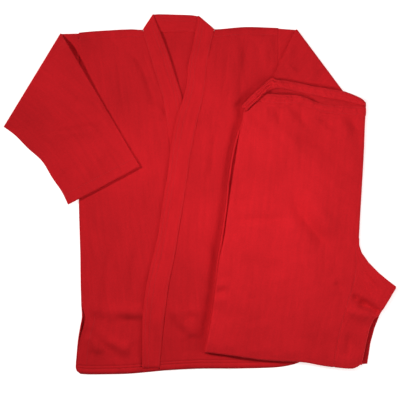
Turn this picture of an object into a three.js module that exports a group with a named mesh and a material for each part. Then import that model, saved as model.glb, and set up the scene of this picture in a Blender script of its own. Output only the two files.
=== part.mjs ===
// A karate gi of red cotton drill, jacket and trousers, folded and laid flat.
//
// The jacket lies front up with both sleeves folded over its fronts. The trousers are folded leg on leg,
// then folded across, with the lower legs underneath, and lie on the jacket's left front and left sleeve.
// Millimetres, +Z up, +X to the right and +Y to the collar as seen from above. The origin is on the
// surface the gi lies on, under the middle of its outline. Left and right in names are the wearer's.
import * as THREE from "three";

// Cloth and seams
const CLOTH = 1.5; // one wall of cloth with its turned edges
const BAND = 2.4; // the collar band, several plies stitched together
const CASING = 3.2; // a waistband casing round its elastic
const SEAM_GAP = 0.3; // between pieces that are sewn together or lie on each other
const LAYER = CLOTH + SEAM_GAP;
const COLOURS = { jacket: 0xbe1a24, band: 0xc21c27, trousers: 0xc8202b, hidden: 0x8e121a };

// Heights of the jacket's layers
const FRONT_Z = LAYER; // a front that lies on the back
const NECK_Z = BAND + SEAM_GAP; // a lapel that lies on the collar behind the neck
const LAPPED_Z = FRONT_Z + BAND + 0.4; // the left front where it laps over the right lapel
const NECK_RAMP = { start: 322, end: 350 }; // the lapels climb onto the collar between these heights
const LAP_RAMP = { start: 3, end: 21 }; // past the right lapel's edge the left front comes down to the back

// The jacket's edges: x of each edge at a height y
const LEFT_LAPEL = [
  { y: 393, free: -3, seam: 40 },
  { y: 362, free: -9, seam: 33 },
  { y: 316, free: -18, seam: 22.5 },
  { y: 289, free: -25, seam: 17.5 },
  { y: 245, free: -29, seam: 13.5 },
  { y: 207, free: -38, seam: 7 },
  { y: 170, free: -51, seam: -2 },
  { y: 99, free: -64.5, seam: -16.5 },
  { y: 47, free: -70.5, seam: -25 },
  { y: -13, free: -81.5, seam: -34 },
  { y: -83, free: -91, seam: -46 },
  { y: -138, free: -103.5, seam: -55 },
  { y: -189, free: -115.5, seam: -65.5 },
  { y: -244, free: -124, seam: -73.5 },
  { y: -296, free: -127, seam: -80 },
  { y: -381, free: -127, seam: -88 },
];
const RIGHT_LAPEL = [
  { y: 396, free: -104, seam: -141 },
  { y: 361, free: -90, seam: -127 },
  { y: 320, free: -74, seam: -116 },
  { y: 262, free: -55, seam: -98 },
  { y: 206, free: -38, seam: -82 },
  { y: 90, free: -24, seam: -66 },
  { y: -24, free: -11, seam: -54 },
  { y: -123, free: 15, seam: -29 },
  { y: -244, free: 42, seam: -1 },
  { y: -381, free: 46, seam: 4 },
];
// The right side, at the image's left, is open below y = -256, where front and back part
const RIGHT_SIDE = [
  { y: 354, front: -266, back: -266 },
  { y: 107, front: -266, back: -266 },
  { y: -16, front: -266, back: -266 },
  { y: -125, front: -263, back: -263 },
  { y: -240, front: -260, back: -261 },
  { y: -270, front: -252, back: -259.5 },
  { y: -293, front: -255.5, back: -263.5 },
  { y: -307, front: -262.5, back: -266 },
  { y: -324, front: -267, back: -268.5 },
  { y: -352, front: -269.5, back: -271 },
  { y: -380, front: -269, back: -272.8 },
  { y: -396, front: -259, back: -262 },
];
const LEFT_SIDE = [
  { y: 364, x: 172 },
  { y: 107, x: 172 },
  { y: -13, x: 176 },
  { y: -145, x: 190 },
  { y: -257, x: 210 },
  { y: -310, x: 228 },
  { y: -356, x: 240 },
];
const HEM = [
  { x: -273, y: -394 },
  { x: -249, y: -396 },
  { x: -215, y: -396 },
  { x: -161, y: -394.7 },
  { x: -110, y: -390.3 },
  { x: -73, y: -386.8 },
  { x: 0, y: -383.2 },
  { x: 88, y: -382.8 },
  { x: 168, y: -380.2 },
  { x: 202, y: -374.7 },
  { x: 222, y: -367.6 },
  { x: 242, y: -355 },
];
const FRONT_HEM_RISE = 2; // the fronts' hem lies this much inside the back's
const SHOULDERS = [
  { x: -307, y: 354.2 },
  { x: -284, y: 353.5 },
  { x: -242, y: 357 },
  { x: -195, y: 360 },
  { x: -152, y: 362 },
  { x: -127, y: 361 },
  { x: 33, y: 362 },
  { x: 98, y: 367 },
  { x: 157, y: 365.6 },
  { x: 212, y: 363 },
];
// The back's neckline, and the collar's stations and slanted folds behind the neck
const BACK_NECK = [
  { x: -134, y: 361.5 },
  { x: -128, y: 358 },
  { x: -114, y: 356.4 },
  { x: -46, y: 356.4 },
  { x: 22, y: 356.4 },
  { x: 35, y: 358.4 },
  { x: 41, y: 362.6 },
];
const COLLAR_BACK = [
  { free: [-88, 395.5], seam: [-114, 356.8] },
  { free: [-53, 394.5], seam: [-46, 356.8] },
  { free: [-20, 393.5], seam: [22, 356.8] },
];
const HEM_Y = -381; // the lapels' lower ends
const NECK_SEAM_Y = 361; // the lapels' seams end here, at the shoulders
const NECK_ROWS = [
  { seam: 316, free: 328 },
  { seam: 340, free: 362 },
];
const COLLAR_CORNERS = {
  right: { free: [-104, 396], seam: [-127, 361], out: [-0.836, 0.549] },
  left: { free: [-3, 393], seam: [33, 362], out: [0.653, 0.758] },
};

// Sleeves: each is a flat tube, folded over the front along fold.top to fold.bottom
const SLEEVES = {
  right: {
    arm: { top: [-266.3, 353.6], bottom: [-266.3, 107] },
    fold: { top: [-307, 354.2], bottom: [-432.3, 148] },
    cuff: { top: [-132, 61.6], bottom: [-290, -22.7] },
    bend: { top: [0, 0], bottom: [11, 9] }, // how far mid-length lies off the straight line
    puff: 1.6,
  },
  left: {
    arm: { top: [172.3, 364.4], bottom: [172.3, 107] },
    fold: { top: [213, 363.4], bottom: [358, 169] },
    cuff: { top: [88, 62], bottom: [260, 10] },
    bend: { top: [-7, 1], bottom: [-7, 1] },
    puff: 0,
  },
};

// Trousers: x of each edge at a height y, for the upper leg and the leg under it
const TROUSER_LEFT = [
  { y: 182, upper: 95.5, under: 96 },
  { y: 154, upper: 92.4, under: 90.5 },
  { y: 136, upper: 87, under: 83 },
  { y: 93, upper: 80, under: 72 },
  { y: 31, upper: 70.4, under: 62 },
  { y: -13, upper: 64, under: 58 },
  { y: -50, upper: 59, under: 53.5 },
  { y: -97, upper: 52.6, under: 46.5 },
  { y: -147, upper: 41.8, under: 38 },
  { y: -266, upper: 26.4, under: 23.5 },
  { y: -350, upper: 10, under: 8.5 },
];
const TROUSER_RIGHT = [
  { y: 194, x: 365.5 },
  { y: 168, x: 363 },
  { y: 75, x: 359 },
  { y: -13, x: 354 },
  { y: -92, x: 349.5 },
  { y: -112, x: 349.5 },
];
// The gusset: its seam, and its outer edge round the crotch point and down the inner leg
const GUSSET = [
  { y: -112, seam: 346.5, upper: 350, under: 349.5 },
  { y: -128, seam: 346.5, upper: 355, under: 354 },
  { y: -150, seam: 346, upper: 370.5, under: 369 },
  { y: -173, seam: 345, upper: 393, under: 391 },
  { y: -188, seam: 342, upper: 411, under: 408 },
  { y: -204, seam: 337.5, upper: 432, under: 427 },
  { y: -228, seam: 330, upper: 418, under: 416 },
  { y: -251, seam: 323.5, upper: 404, under: 403 },
  { y: -266, seam: 319, upper: 393, under: 394.5 },
  { y: -274, seam: 317, upper: 382, under: 391.5 },
  { y: -294, seam: 311.5, upper: 373, under: 383.5 },
  { y: -327, seam: 304.5, upper: 365, under: 374.5 },
  { y: -373, seam: 297, upper: 356, under: 367.5 },
];
const FOLD_ACROSS = [
  { x: 10, upper: -347, under: -348 },
  { x: 51, upper: -352.4, under: -354.5 },
  { x: 94, upper: -358.2, under: -361 },
  { x: 134, upper: -364, under: -366 },
  { x: 182, upper: -367, under: -368 },
  { x: 223, upper: -368.5, under: -369 },
  { x: 267, upper: -376.6, under: -375 },
  { x: 296, upper: -380.5, under: -377 },
  { x: 334, upper: -383.5, under: -376.5 },
  { x: 347, upper: -379, under: -375 },
  { x: 356, upper: -372, under: -373.5 },
  { x: 368, upper: -370, under: -372.5 },
];
// The waist: top edges and seams of the two casings, and where the front opens from the back
const FRONT_CASING = [
  { x: 134, top: 207.5, seam: 203 },
  { x: 146, top: 218.5, seam: 201 },
  { x: 160, top: 219, seam: 198.5 },
  { x: 209, top: 217, seam: 197 },
  { x: 229, top: 212.5, seam: 193 },
  { x: 266, top: 198.4, seam: 179 },
  { x: 282, top: 196.2, seam: 176.5 },
  { x: 315, top: 194, seam: 174 },
  { x: 365.5, top: 192, seam: 172 },
];
const BACK_CASING = [
  { outerX: 91, outerY: 193, innerX: 103, innerY: 183.5 },
  { outerX: 123, outerY: 224.5, innerX: 129, innerY: 206 },
  { outerX: 150, outerY: 249.5, innerX: 148, innerY: 224 },
  { outerX: 158, outerY: 254.5, innerX: 158, innerY: 230 },
  { outerX: 168, outerY: 251.5, innerX: 170, innerY: 231.5 },
  { outerX: 195, outerY: 248.2, innerX: 194, innerY: 228.5 },
  { outerX: 242, outerY: 238, innerX: 239, innerY: 218.5 },
  { outerX: 290, outerY: 229.5, innerX: 287, innerY: 210 },
  { outerX: 318, outerY: 224.2, innerX: 313, innerY: 205.5 },
  { outerX: 342, outerY: 212.5, innerX: 334, innerY: 200 },
  { outerX: 360, outerY: 202, innerX: 349, innerY: 196.5 },
];

// The pile of trouser layers on what it lies on
const PILE = {
  clearance: 0.4, // between the lowest layer and what carries it
  fourLayers: 12, // height where the legs are single
  eightLayers: 15.5, // height where the lower legs are folded under
  step: { start: -30, end: -72 }, // between the two
  roll: 5, // radius of the rounded edge of the upper leg
  reach: 22, // how far past an edge the cloth stays level before it drops
  drop: 30, // length of the lowest layer's drop
  softDrop: 95, // length of the drop in the layers above it
  slack: 1.1, // extra room over the hidden layers, under the upper leg's ridges and folds
};

// Largest soft folds: ridges from start to end, with height and half width
const RIDGES = {
  rightFront: [
    { x0: -150, y0: 300, x1: -118, y1: 215, height: 2, width: 13 },
    { x0: -215, y0: -120, x1: -228, y1: -265, height: 2, width: 17 },
    { x0: -160, y0: -90, x1: -172, y1: -270, height: 2.2, width: 19 },
    { x0: -205, y0: -315, x1: -160, y1: -345, height: 2.4, width: 15 },
  ],
  leftFront: [
    { x0: 88, y0: 330, x1: 62, y1: 190, height: 2, width: 17 },
    { x0: -50, y0: -262, x1: -12, y1: -318, height: 2.4, width: 13 },
    { x0: 20, y0: 150, x1: 8, y1: 30, height: 1.8, width: 16 },
  ],
  upperLeg: [
    { x0: 112, y0: 130, x1: 190, y1: 40, height: 1.4, width: 26 },
    { x0: 222, y0: 22, x1: 300, y1: -98, height: 1.8, width: 17 },
    { x0: 186, y0: -38, x1: 262, y1: -150, height: 1.4, width: 20 },
    { x0: 318, y0: -250, x1: 372, y1: -276, height: 1.6, width: 11 },
  ],
};
const RIDGE_FADE = 26; // a ridge dies out over this length at its ends and towards what lies on the cloth

const lerp = (a, b, t) => a + (b - a) * t;
const mix = (p, q, t) => [lerp(p[0], q[0], t), lerp(p[1], q[1], t)];
const clamp = (value, low, high) => Math.min(Math.max(value, low), high);
const ease = (t) => {
  const s = clamp(t, 0, 1);
  return s * s * (3 - 2 * s);
};
const fractions = (count) => Array.from({ length: count + 1 }, (_, i) => i / count);

// A smooth curve through a table's rows: the value of column `to` at a place in column `from`
function curve(table, from, to) {
  const rows = [...table].sort((a, b) => a[from] - b[from]);
  const last = rows.length - 1;
  const slope = (i) => {
    const before = rows[Math.max(i - 1, 0)];
    const after = rows[Math.min(i + 1, last)];
    return (after[to] - before[to]) / (after[from] - before[from]);
  };
  return (place) => {
    const at = clamp(place, rows[0][from], rows[last][from]);
    let i = 0;
    while (i < last - 1 && at > rows[i + 1][from]) i += 1;
    const span = rows[i + 1][from] - rows[i][from];
    const t = (at - rows[i][from]) / span;
    const bend = t * (1 - t);
    const start = slope(i) * span;
    const end = slope(i + 1) * span;
    const rise = rows[i + 1][to] - rows[i][to];
    return rows[i][to] + rise * ease(t) + bend * ((1 - t) * start - t * end);
  };
}

// The same with straight stretches, for an outline with sharp points
function polyline(table, from, to) {
  const rows = [...table].sort((a, b) => a[from] - b[from]);
  return (place) => {
    const at = clamp(place, rows[0][from], rows[rows.length - 1][from]);
    let i = 0;
    while (i < rows.length - 2 && at > rows[i + 1][from]) i += 1;
    return lerp(rows[i][to], rows[i + 1][to], (at - rows[i][from]) / (rows[i + 1][from] - rows[i][from]));
  };
}

// Distance from a point to the segment between two points
function segmentDistance(x, y, p, q) {
  const dx = q[0] - p[0];
  const dy = q[1] - p[1];
  const t = clamp(((x - p[0]) * dx + (y - p[1]) * dy) / (dx * dx + dy * dy), 0, 1);
  return Math.hypot(x - p[0] - dx * t, y - p[1] - dy * t);
}

// Distance outside a closed outline, 0 inside it
function outsideDistance(x, y, outline) {
  let inside = false;
  let nearest = Infinity;
  outline.forEach((p, i) => {
    const q = outline[(i + 1) % outline.length];
    nearest = Math.min(nearest, segmentDistance(x, y, p, q));
    if (p[1] > y !== q[1] > y && x < lerp(p[0], q[0], (y - p[1]) / (q[1] - p[1]))) inside = !inside;
  });
  return inside ? 0 : nearest;
}

// Sum of the soft ridges of a table at a point
function ridgeHeight(x, y, ridges) {
  return ridges.reduce((sum, r) => {
    const length = Math.hypot(r.x1 - r.x0, r.y1 - r.y0);
    const t = ((x - r.x0) * (r.x1 - r.x0) + (y - r.y0) * (r.y1 - r.y0)) / length;
    const off = segmentDistance(x, y, [r.x0, r.y0], [r.x1, r.y1]);
    const ends = ease(t / RIDGE_FADE) * ease((length - t) / RIDGE_FADE);
    return sum + r.height * ends * Math.exp(-((off / r.width) ** 2));
  }, 0);
}

// A named mesh from points and four-sided or three-sided faces, turned to face outwards
function closedMesh(name, colour, points, faces) {
  const triangles = faces.flatMap((f) => (f.length === 4 ? [f[0], f[1], f[2], f[0], f[2], f[3]] : f));
  let volume = 0;
  const [a, b, c] = [new THREE.Vector3(), new THREE.Vector3(), new THREE.Vector3()];
  for (let i = 0; i < triangles.length; i += 3) {
    a.fromArray(points[triangles[i]]);
    b.fromArray(points[triangles[i + 1]]);
    c.fromArray(points[triangles[i + 2]]);
    volume += a.dot(b.cross(c));
  }
  const geometry = new THREE.BufferGeometry();
  geometry.setAttribute("position", new THREE.Float32BufferAttribute(points.flat(), 3));
  geometry.setIndex(volume < 0 ? [...triangles].reverse() : triangles);
  geometry.computeVertexNormals();
  const finish = { color: colour, roughness: 0.92, metalness: 0 };
  const mesh = new THREE.Mesh(geometry, new THREE.MeshStandardMaterial(finish));
  mesh.name = name;
  return mesh;
}

// A wall of cloth: place(i, j, side) is a point of its grid, on its first face for side 0, its second for 1
function wall(name, colour, across, along, place) {
  const points = [];
  for (const side of [0, 1])
    for (let j = 0; j <= along; j += 1) for (let i = 0; i <= across; i += 1) points.push(place(i, j, side));
  const at = (i, j, side) => (side * (along + 1) + j) * (across + 1) + i;
  const faces = [];
  for (let j = 0; j < along; j += 1)
    for (let i = 0; i < across; i += 1) {
      faces.push([at(i, j, 1), at(i + 1, j, 1), at(i + 1, j + 1, 1), at(i, j + 1, 1)]);
      faces.push([at(i, j, 0), at(i, j + 1, 0), at(i + 1, j + 1, 0), at(i + 1, j, 0)]);
    }
  for (let i = 0; i < across; i += 1) {
    faces.push([at(i, 0, 0), at(i + 1, 0, 0), at(i + 1, 0, 1), at(i, 0, 1)]);
    faces.push([at(i, along, 1), at(i + 1, along, 1), at(i + 1, along, 0), at(i, along, 0)]);
  }
  for (let j = 0; j < along; j += 1) {
    faces.push([at(0, j, 1), at(0, j + 1, 1), at(0, j + 1, 0), at(0, j, 0)]);
    faces.push([at(across, j, 0), at(across, j + 1, 0), at(across, j + 1, 1), at(across, j, 1)]);
  }
  return closedMesh(name, colour, points, faces);
}

// A tube wall open at both ends: rings[j] holds the outer and inner loops of a station
function tube(name, colour, rings) {
  const count = rings[0].outer.length;
  const points = rings.flatMap((ring) => [...ring.outer, ...ring.inner]);
  const at = (j, i, side) => j * 2 * count + side * count + (i % count);
  const faces = [];
  for (let i = 0; i < count; i += 1) {
    for (let j = 0; j < rings.length - 1; j += 1) {
      faces.push([at(j, i, 0), at(j, i + 1, 0), at(j + 1, i + 1, 0), at(j + 1, i, 0)]);
      faces.push([at(j, i, 1), at(j + 1, i, 1), at(j + 1, i + 1, 1), at(j, i + 1, 1)]);
    }
    const end = rings.length - 1;
    faces.push([at(0, i, 0), at(0, i, 1), at(0, i + 1, 1), at(0, i + 1, 0)]);
    faces.push([at(end, i, 0), at(end, i + 1, 0), at(end, i + 1, 1), at(end, i, 1)]);
  }
  return closedMesh(name, colour, points, faces);
}

const lapel = {
  left: { free: curve(LEFT_LAPEL, "y", "free"), seam: curve(LEFT_LAPEL, "y", "seam") },
  right: { free: curve(RIGHT_LAPEL, "y", "free"), seam: curve(RIGHT_LAPEL, "y", "seam") },
};
const side = {
  rightFront: curve(RIGHT_SIDE, "y", "front"),
  rightBack: curve(RIGHT_SIDE, "y", "back"),
  left: curve(LEFT_SIDE, "y", "x"),
};
const hem = curve(HEM, "x", "y");
const frontHem = (x) => hem(x) + FRONT_HEM_RISE;
const shoulder = curve(SHOULDERS, "x", "y");

// Height of the neck end of a lapel, which lies on the collar behind the neck
const neckZ = (y) => lerp(FRONT_Z, NECK_Z, ease((y - NECK_RAMP.start) / (NECK_RAMP.end - NECK_RAMP.start)));

// Height of the left front's under face: over the right lapel, then down past that lapel's edge to the back
function leftFrontZ(x, y) {
  const past = x - lapel.right.free(y);
  const lap = 1 - ease((past - LAP_RAMP.start) / (LAP_RAMP.end - LAP_RAMP.start));
  return lerp(neckZ(y), Math.max(LAPPED_Z, neckZ(y)), lap);
}

// A sleeve's two long edges after the fold, as bent lines from the fold to the cuff
function foldedEdge(sleeve, edge, t) {
  const straight = mix(sleeve.fold[edge], sleeve.cuff[edge], t);
  const bow = 4 * t * (1 - t);
  return [straight[0] + bow * sleeve.bend[edge][0], straight[1] + bow * sleeve.bend[edge][1]];
}

const EDGE_SAMPLES = 8;
const foldedOutline = (sleeve) => [
  ...fractions(EDGE_SAMPLES).map((t) => foldedEdge(sleeve, "top", t)),
  ...fractions(EDGE_SAMPLES).map((t) => foldedEdge(sleeve, "bottom", 1 - t)),
];
const sleeveOutline = { right: foldedOutline(SLEEVES.right), left: foldedOutline(SLEEVES.left) };

const trouserLeft = { upper: curve(TROUSER_LEFT, "y", "upper"), under: curve(TROUSER_LEFT, "y", "under") };
const trouserRight = curve(TROUSER_RIGHT, "y", "x");
const gusset = {
  seam: curve(GUSSET, "y", "seam"),
  upper: polyline(GUSSET, "y", "upper"),
  under: polyline(GUSSET, "y", "under"),
};
const foldAcross = { upper: curve(FOLD_ACROSS, "x", "upper"), under: curve(FOLD_ACROSS, "x", "under") };
const frontCasing = { top: curve(FRONT_CASING, "x", "top"), seam: curve(FRONT_CASING, "x", "seam") };
const GUSSET_TOP = GUSSET[0].y;
const trouserOutline = [
  ...TROUSER_LEFT.map((row) => [row.under, row.y]),
  ...FOLD_ACROSS.map((row) => [row.x, Math.min(row.upper, row.under)]),
  ...[...GUSSET].reverse().map((row) => [Math.max(row.upper, row.under), row.y]),
  ...BACK_CASING.toReversed().map((row) => [row.outerX, row.outerY]),
];

// Ridges of a front fade out before what lies on it, and before the lapels and edges
function frontRidge(x, y, ridges) {
  const height = ridgeHeight(x, y, ridges);
  if (height < 0.01) return 0;
  const clear = (outline) => ease((outsideDistance(x, y, outline) - 4) / RIDGE_FADE);
  const lapped = y < 206 ? ease((Math.abs(x - lapel.left.free(y)) - 2) / 20) : 1;
  return height * clear(sleeveOutline.right) * clear(sleeveOutline.left) * clear(trouserOutline) * lapped;
}

// Heights of the rows that all pieces of the jacket's body share, so that their seams run side by side
const BODY_LEVELS = [
  -352, -324, -296, -270, -240, -205, -165, -123, -83, -40, 0, 45, 90, 130, 170, 206, 245, 280, 316, 340,
];

// A panel between two long edges, given as x at a height, and its top and bottom edges, given as y at a place.
// A column is a share of the way across, or a function of the height that gives its x.
function panel(name, colour, shape) {
  const { left, right, top, bottom, columns, z } = shape;
  const rows = [bottom, ...BODY_LEVELS.map((level) => () => level), top];
  return wall(name, colour, columns.length - 1, rows.length - 1, (i, j, face) => {
    const across = (y) => (typeof columns[i] === "function" ? columns[i](y) : lerp(left(y), right(y), columns[i]));
    const start = across(j === 0 ? HEM_Y : NECK_SEAM_Y);
    const y = rows[j](across(rows[j](start)));
    const x = across(y);
    return [x, y, z(x, y) + face * CLOTH];
  });
}

function back() {
  const neckline = polyline(BACK_NECK, "x", "y");
  const fixed = BACK_NECK.map((row) => () => row.x);
  return panel("back", COLOURS.jacket, {
    left: side.rightBack,
    right: side.left,
    top: (x) => Math.min(shoulder(x), neckline(x)),
    bottom: hem,
    columns: [0, 0.1, 0.2, ...fixed, 0.76, 0.88, 1],
    z: () => 0,
  });
}

function rightFront() {
  return panel("front_right", COLOURS.jacket, {
    left: side.rightFront,
    right: (y) => lapel.right.seam(y) - SEAM_GAP,
    top: shoulder,
    bottom: frontHem,
    columns: [0, 0.05, 0.12, 0.2, 0.28, 0.36, 0.44, 0.53, 0.62, 0.74, 0.87, 1],
    z: (x, y) => FRONT_Z + frontRidge(x, y, RIDGES.rightFront),
  });
}

function leftFront() {
  const start = (y) => lapel.left.seam(y) + SEAM_GAP;
  const crest = (y) => Math.max(lapel.right.free(y) + LAP_RAMP.start, start(y) + 6);
  const foot = (y) => Math.max(lapel.right.free(y) + LAP_RAMP.end, start(y) + 15);
  const between = (from, to, shares) => shares.map((t) => (y) => lerp(from(y), to(y), t));
  const thirds = [0, 1 / 3, 2 / 3];
  return panel("front_left", COLOURS.jacket, {
    left: start,
    right: side.left,
    top: shoulder,
    bottom: frontHem,
    columns: [...between(start, crest, thirds), ...between(crest, foot, thirds), ...between(foot, side.left, fractions(6))],
    z: (x, y) => leftFrontZ(x, Math.min(y, NECK_RAMP.start)) + frontRidge(x, y, RIDGES.leftFront),
  });
}

// The collar band is one ribbon: up the hidden right lapel, round the neck, and down the left lapel.
// Each station gives a point at a share of the way from the free edge to the seam, at a depth in the band.
function collarBand() {
  const ACROSS = 4;
  const BEND_STEPS = 4;
  const lapelStation = (edges, freeY, seamY, z) => (s, h) => {
    const y = lerp(freeY, seamY, s);
    const x = lerp(edges.free(freeY), edges.seam(seamY), s);
    return [x, y, z(x, y) + h];
  };
  const lapelStations = (edges, z) => [
    lapelStation(edges, HEM_Y, HEM_Y, z),
    ...BODY_LEVELS.filter((y) => y < NECK_ROWS[0].seam).map((y) => lapelStation(edges, y, y, z)),
    ...NECK_ROWS.map((row) => lapelStation(edges, row.free, row.seam, z)),
  ];
  // Half turns about the slanted neck folds, from the lapel above to the collar below
  const neckFold = (corner, angle) => (s, h) => {
    const [x, y] = mix(corner.free, corner.seam, s);
    const radius = SEAM_GAP / 2 + h;
    const reach = radius * Math.sin(angle) - BAND;
    return [x + corner.out[0] * reach, y + corner.out[1] * reach, BAND + SEAM_GAP / 2 + radius * Math.cos(angle)];
  };
  const { right, left } = COLLAR_CORNERS;
  const turn = fractions(BEND_STEPS).map((t) => t * Math.PI);
  const stations = [
    ...lapelStations(lapel.right, (x, y) => neckZ(y)),
    ...turn.map((angle) => neckFold(right, angle)),
    ...COLLAR_BACK.map((row) => (s, h) => [...mix(row.free, row.seam, s), BAND - h]),
    ...turn.toReversed().map((angle) => neckFold(left, angle)),
    ...lapelStations(lapel.left, leftFrontZ).toReversed(),
  ];
  return wall("collar_band", COLOURS.band, ACROSS, stations.length - 1, (i, j, face) =>
    stations[j](i / ACROSS, face * BAND),
  );
}

// A sleeve: a flat tube of two layers, folded over so that its back shows
function sleeve(name, shape) {
  const foldZ = CLOTH + LAYER + SEAM_GAP / 2; // height of the fold's centre line
  const { arm, fold, cuff } = shape;
  const run = [fold.bottom[0] - fold.top[0], fold.bottom[1] - fold.top[1]];
  const length = Math.hypot(...run);
  const sign = Math.sign(arm.top[0] - fold.top[0]);
  const out = [(sign * run[1]) / length, (-sign * run[0]) / length];
  const inset = (p) => [p[0] - out[0] * foldZ, p[1] - out[1] * foldZ];
  const edges = { top: inset(fold.top), bottom: inset(fold.bottom) };
  const flat = fractions(2).map((t) => ({
    top: mix(arm.top, edges.top, t),
    bottom: mix(arm.bottom, edges.bottom, t),
    reach: () => 0,
    z: (h) => h,
  }));
  const bent = fractions(4)
    .slice(1, -1)
    .map((t) => ({
      ...edges,
      reach: (h) => (foldZ - h) * Math.sin(t * Math.PI),
      z: (h) => foldZ - (foldZ - h) * Math.cos(t * Math.PI),
    }));
  const returned = fractions(9).map((t) => {
    const start = { top: [0, 1].map((k) => edges.top[k] - fold.top[k]), bottom: [0, 1].map((k) => edges.bottom[k] - fold.bottom[k]) };
    const place = (edge) => foldedEdge(shape, edge, t).map((value, k) => value + start[edge][k] * (1 - t));
    const puff = shape.puff * Math.sin(Math.PI * clamp(t * 1.06, 0, 1));
    return {
      top: place("top"),
      bottom: place("bottom"),
      reach: () => 0,
      z: (h, q) => 2 * foldZ - h + (h < LAYER ? puff * Math.sin(Math.PI * q) : 0),
    };
  });
  const spread = fractions(6);
  const rings = [...flat, ...bent, ...returned].map((station) => {
    const width = Math.hypot(station.bottom[0] - station.top[0], station.bottom[1] - station.top[1]);
    const point = (q, h) => {
      const [x, y] = mix(station.top, station.bottom, q);
      const reach = station.reach(h);
      return [x + out[0] * reach, y + out[1] * reach, station.z(h, clamp(q, 0, 1))];
    };
    const loop = (margin, low, high, bulge) => {
      const inner = (q) => lerp(margin / width, 1 - margin / width, q);
      return [
        ...spread.map((q) => point(inner(q), low)),
        point(1 - (margin - bulge) / width, (low + high) / 2),
        ...spread.toReversed().map((q) => point(inner(q), high)),
        point((margin - bulge) / width, (low + high) / 2),
      ];
    };
    return { outer: loop(1, 0, CLOTH + LAYER, 1), inner: loop(2.3, CLOTH, LAYER, 0.15) };
  });
  return tube(name, COLOURS.jacket, rings);
}

// What carries the trousers: the folded sleeve, the lapped strip of the left front, the left front, the surface
const jacketOutline = [
  ...LEFT_SIDE.map((row) => [row.x, row.y]),
  ...HEM.toReversed().map((row) => [row.x, row.y]),
  ...SHOULDERS.slice(1, -1).map((row) => [row.x, row.y]),
];
const lappedOutline = [
  ...RIGHT_LAPEL.map((row) => [row.free + LAP_RAMP.end, row.y]),
  ...LEFT_LAPEL.toReversed().map((row) => [row.free, row.y]),
];
function supportZ(x, y, drop = PILE.drop) {
  const level = (outline, height) => height * (1 - ease((outsideDistance(x, y, outline) - PILE.reach) / drop));
  const sleeveTop = 2 * (CLOTH + LAYER) + SEAM_GAP;
  const carried = Math.max(
    level(sleeveOutline.left, sleeveTop),
    level(lappedOutline, LAPPED_Z + CLOTH),
    level(jacketOutline, FRONT_Z + CLOTH),
  );
  return carried > 0 ? carried + PILE.clearance * Math.min(carried, 1) : 0;
}
const pileHeight = (y) =>
  lerp(PILE.fourLayers, PILE.eightLayers, ease((y - PILE.step.start) / (PILE.step.end - PILE.step.start)));
const pileTopZ = (x, y) => supportZ(x, y, PILE.softDrop) + pileHeight(y);
const legTopZ = (x, y) => pileTopZ(x, y) + ridgeHeight(x, y, RIDGES.upperLeg);

// Heights of the rows that all layers of the trousers share below the waist
const LEG_LEVELS = [154, 124, 90, 56, 22, -10, -32, -52, -74, -98, -112, -140, -173, -204, -228, -251, -274, -300, -328];
const ROLL_STEPS = 3;
const quarterTurn = (steps) => (clamp(steps, 0, ROLL_STEPS) / ROLL_STEPS) * (Math.PI / 2);

// Where the upper leg ends at the waist: along the slanted side of the back casing, then along the front's
function waistSeam(x) {
  const slanted = lerp(180.5, 202.5, ease((x - 99) / 33));
  return x < FRONT_CASING[0].x ? slanted : frontCasing.seam(x) - SEAM_GAP;
}

// The point of a grid at a share of the way across one of its rows
function gridPoint(left, right, row, share) {
  let y = row(lerp(left(0), right(0), share));
  let x = lerp(left(y), right(y), share);
  for (let pass = 0; pass < 3; pass += 1) {
    y = row(x);
    x = lerp(left(y), right(y), share);
  }
  return [x, y];
}

// A layer whose edges roll down on the sides named in `rolled`, as a wall of grid rows from waist to fold
function rolledPanel(name, colour, shape) {
  const { left, right, rows, flatRight, columns, rolled } = shape;
  const first = rolled.left ? ROLL_STEPS : 0;
  const across = columns + first + ROLL_STEPS;
  const along = rows.length - 1 + ROLL_STEPS;
  return wall(name, colour, across, along, (i, j, face) => {
    const row = rows[Math.min(j, rows.length - 1)];
    const flat = flatRight(Math.min(j, rows.length - 1));
    const share = clamp((i - first) / (flat ? columns + ROLL_STEPS : columns), 0, 1);
    const [x, y] = gridPoint(left, right, row, share);
    const radius = PILE.roll - CLOTH + face * CLOTH;
    const leftTurn = quarterTurn(first - i);
    const rightTurn = flat ? 0 : quarterTurn(i - first - columns);
    const downTurn = quarterTurn(j - rows.length + 1);
    const z = legTopZ(x, y) - PILE.roll + radius * Math.cos(leftTurn) * Math.cos(rightTurn) * Math.cos(downTurn);
    return [x + radius * (Math.sin(rightTurn) - Math.sin(leftTurn)), y - radius * Math.sin(downTurn), z];
  });
}

const levelRows = (levels) => levels.map((level) => () => level);
const upperFold = (x) => foldAcross.upper(x) + PILE.roll;
const upperLegLeft = (y) => trouserLeft.upper(y) + PILE.roll;
const upperLegRight = (y) => (y > GUSSET_TOP ? trouserRight(y) - PILE.roll : gusset.seam(y) - SEAM_GAP);
const UPPER_LEG_COLUMNS = 10;

// The upper leg, with rounded edges at the outer side, at the centre above the gusset and at the fold across
function upperLeg() {
  return rolledPanel("leg_left", COLOURS.trousers, {
    left: upperLegLeft,
    right: upperLegRight,
    rows: [waistSeam, ...levelRows(LEG_LEVELS), upperFold],
    flatRight: (j) => j > LEG_LEVELS.indexOf(GUSSET_TOP),
    columns: UPPER_LEG_COLUMNS,
    rolled: { left: true },
  });
}

// The upper gusset, from its seam to the crotch point and the inner leg
function upperGusset() {
  const levels = LEG_LEVELS.filter((level) => level <= GUSSET_TOP);
  return rolledPanel("gusset_left", COLOURS.trousers, {
    left: gusset.seam,
    right: (y) => Math.max(gusset.upper(y) - PILE.roll, gusset.seam(y) + 1.5),
    rows: [...levelRows(levels), upperFold],
    flatRight: () => false,
    columns: 4,
    rolled: { left: false },
  });
}

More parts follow.
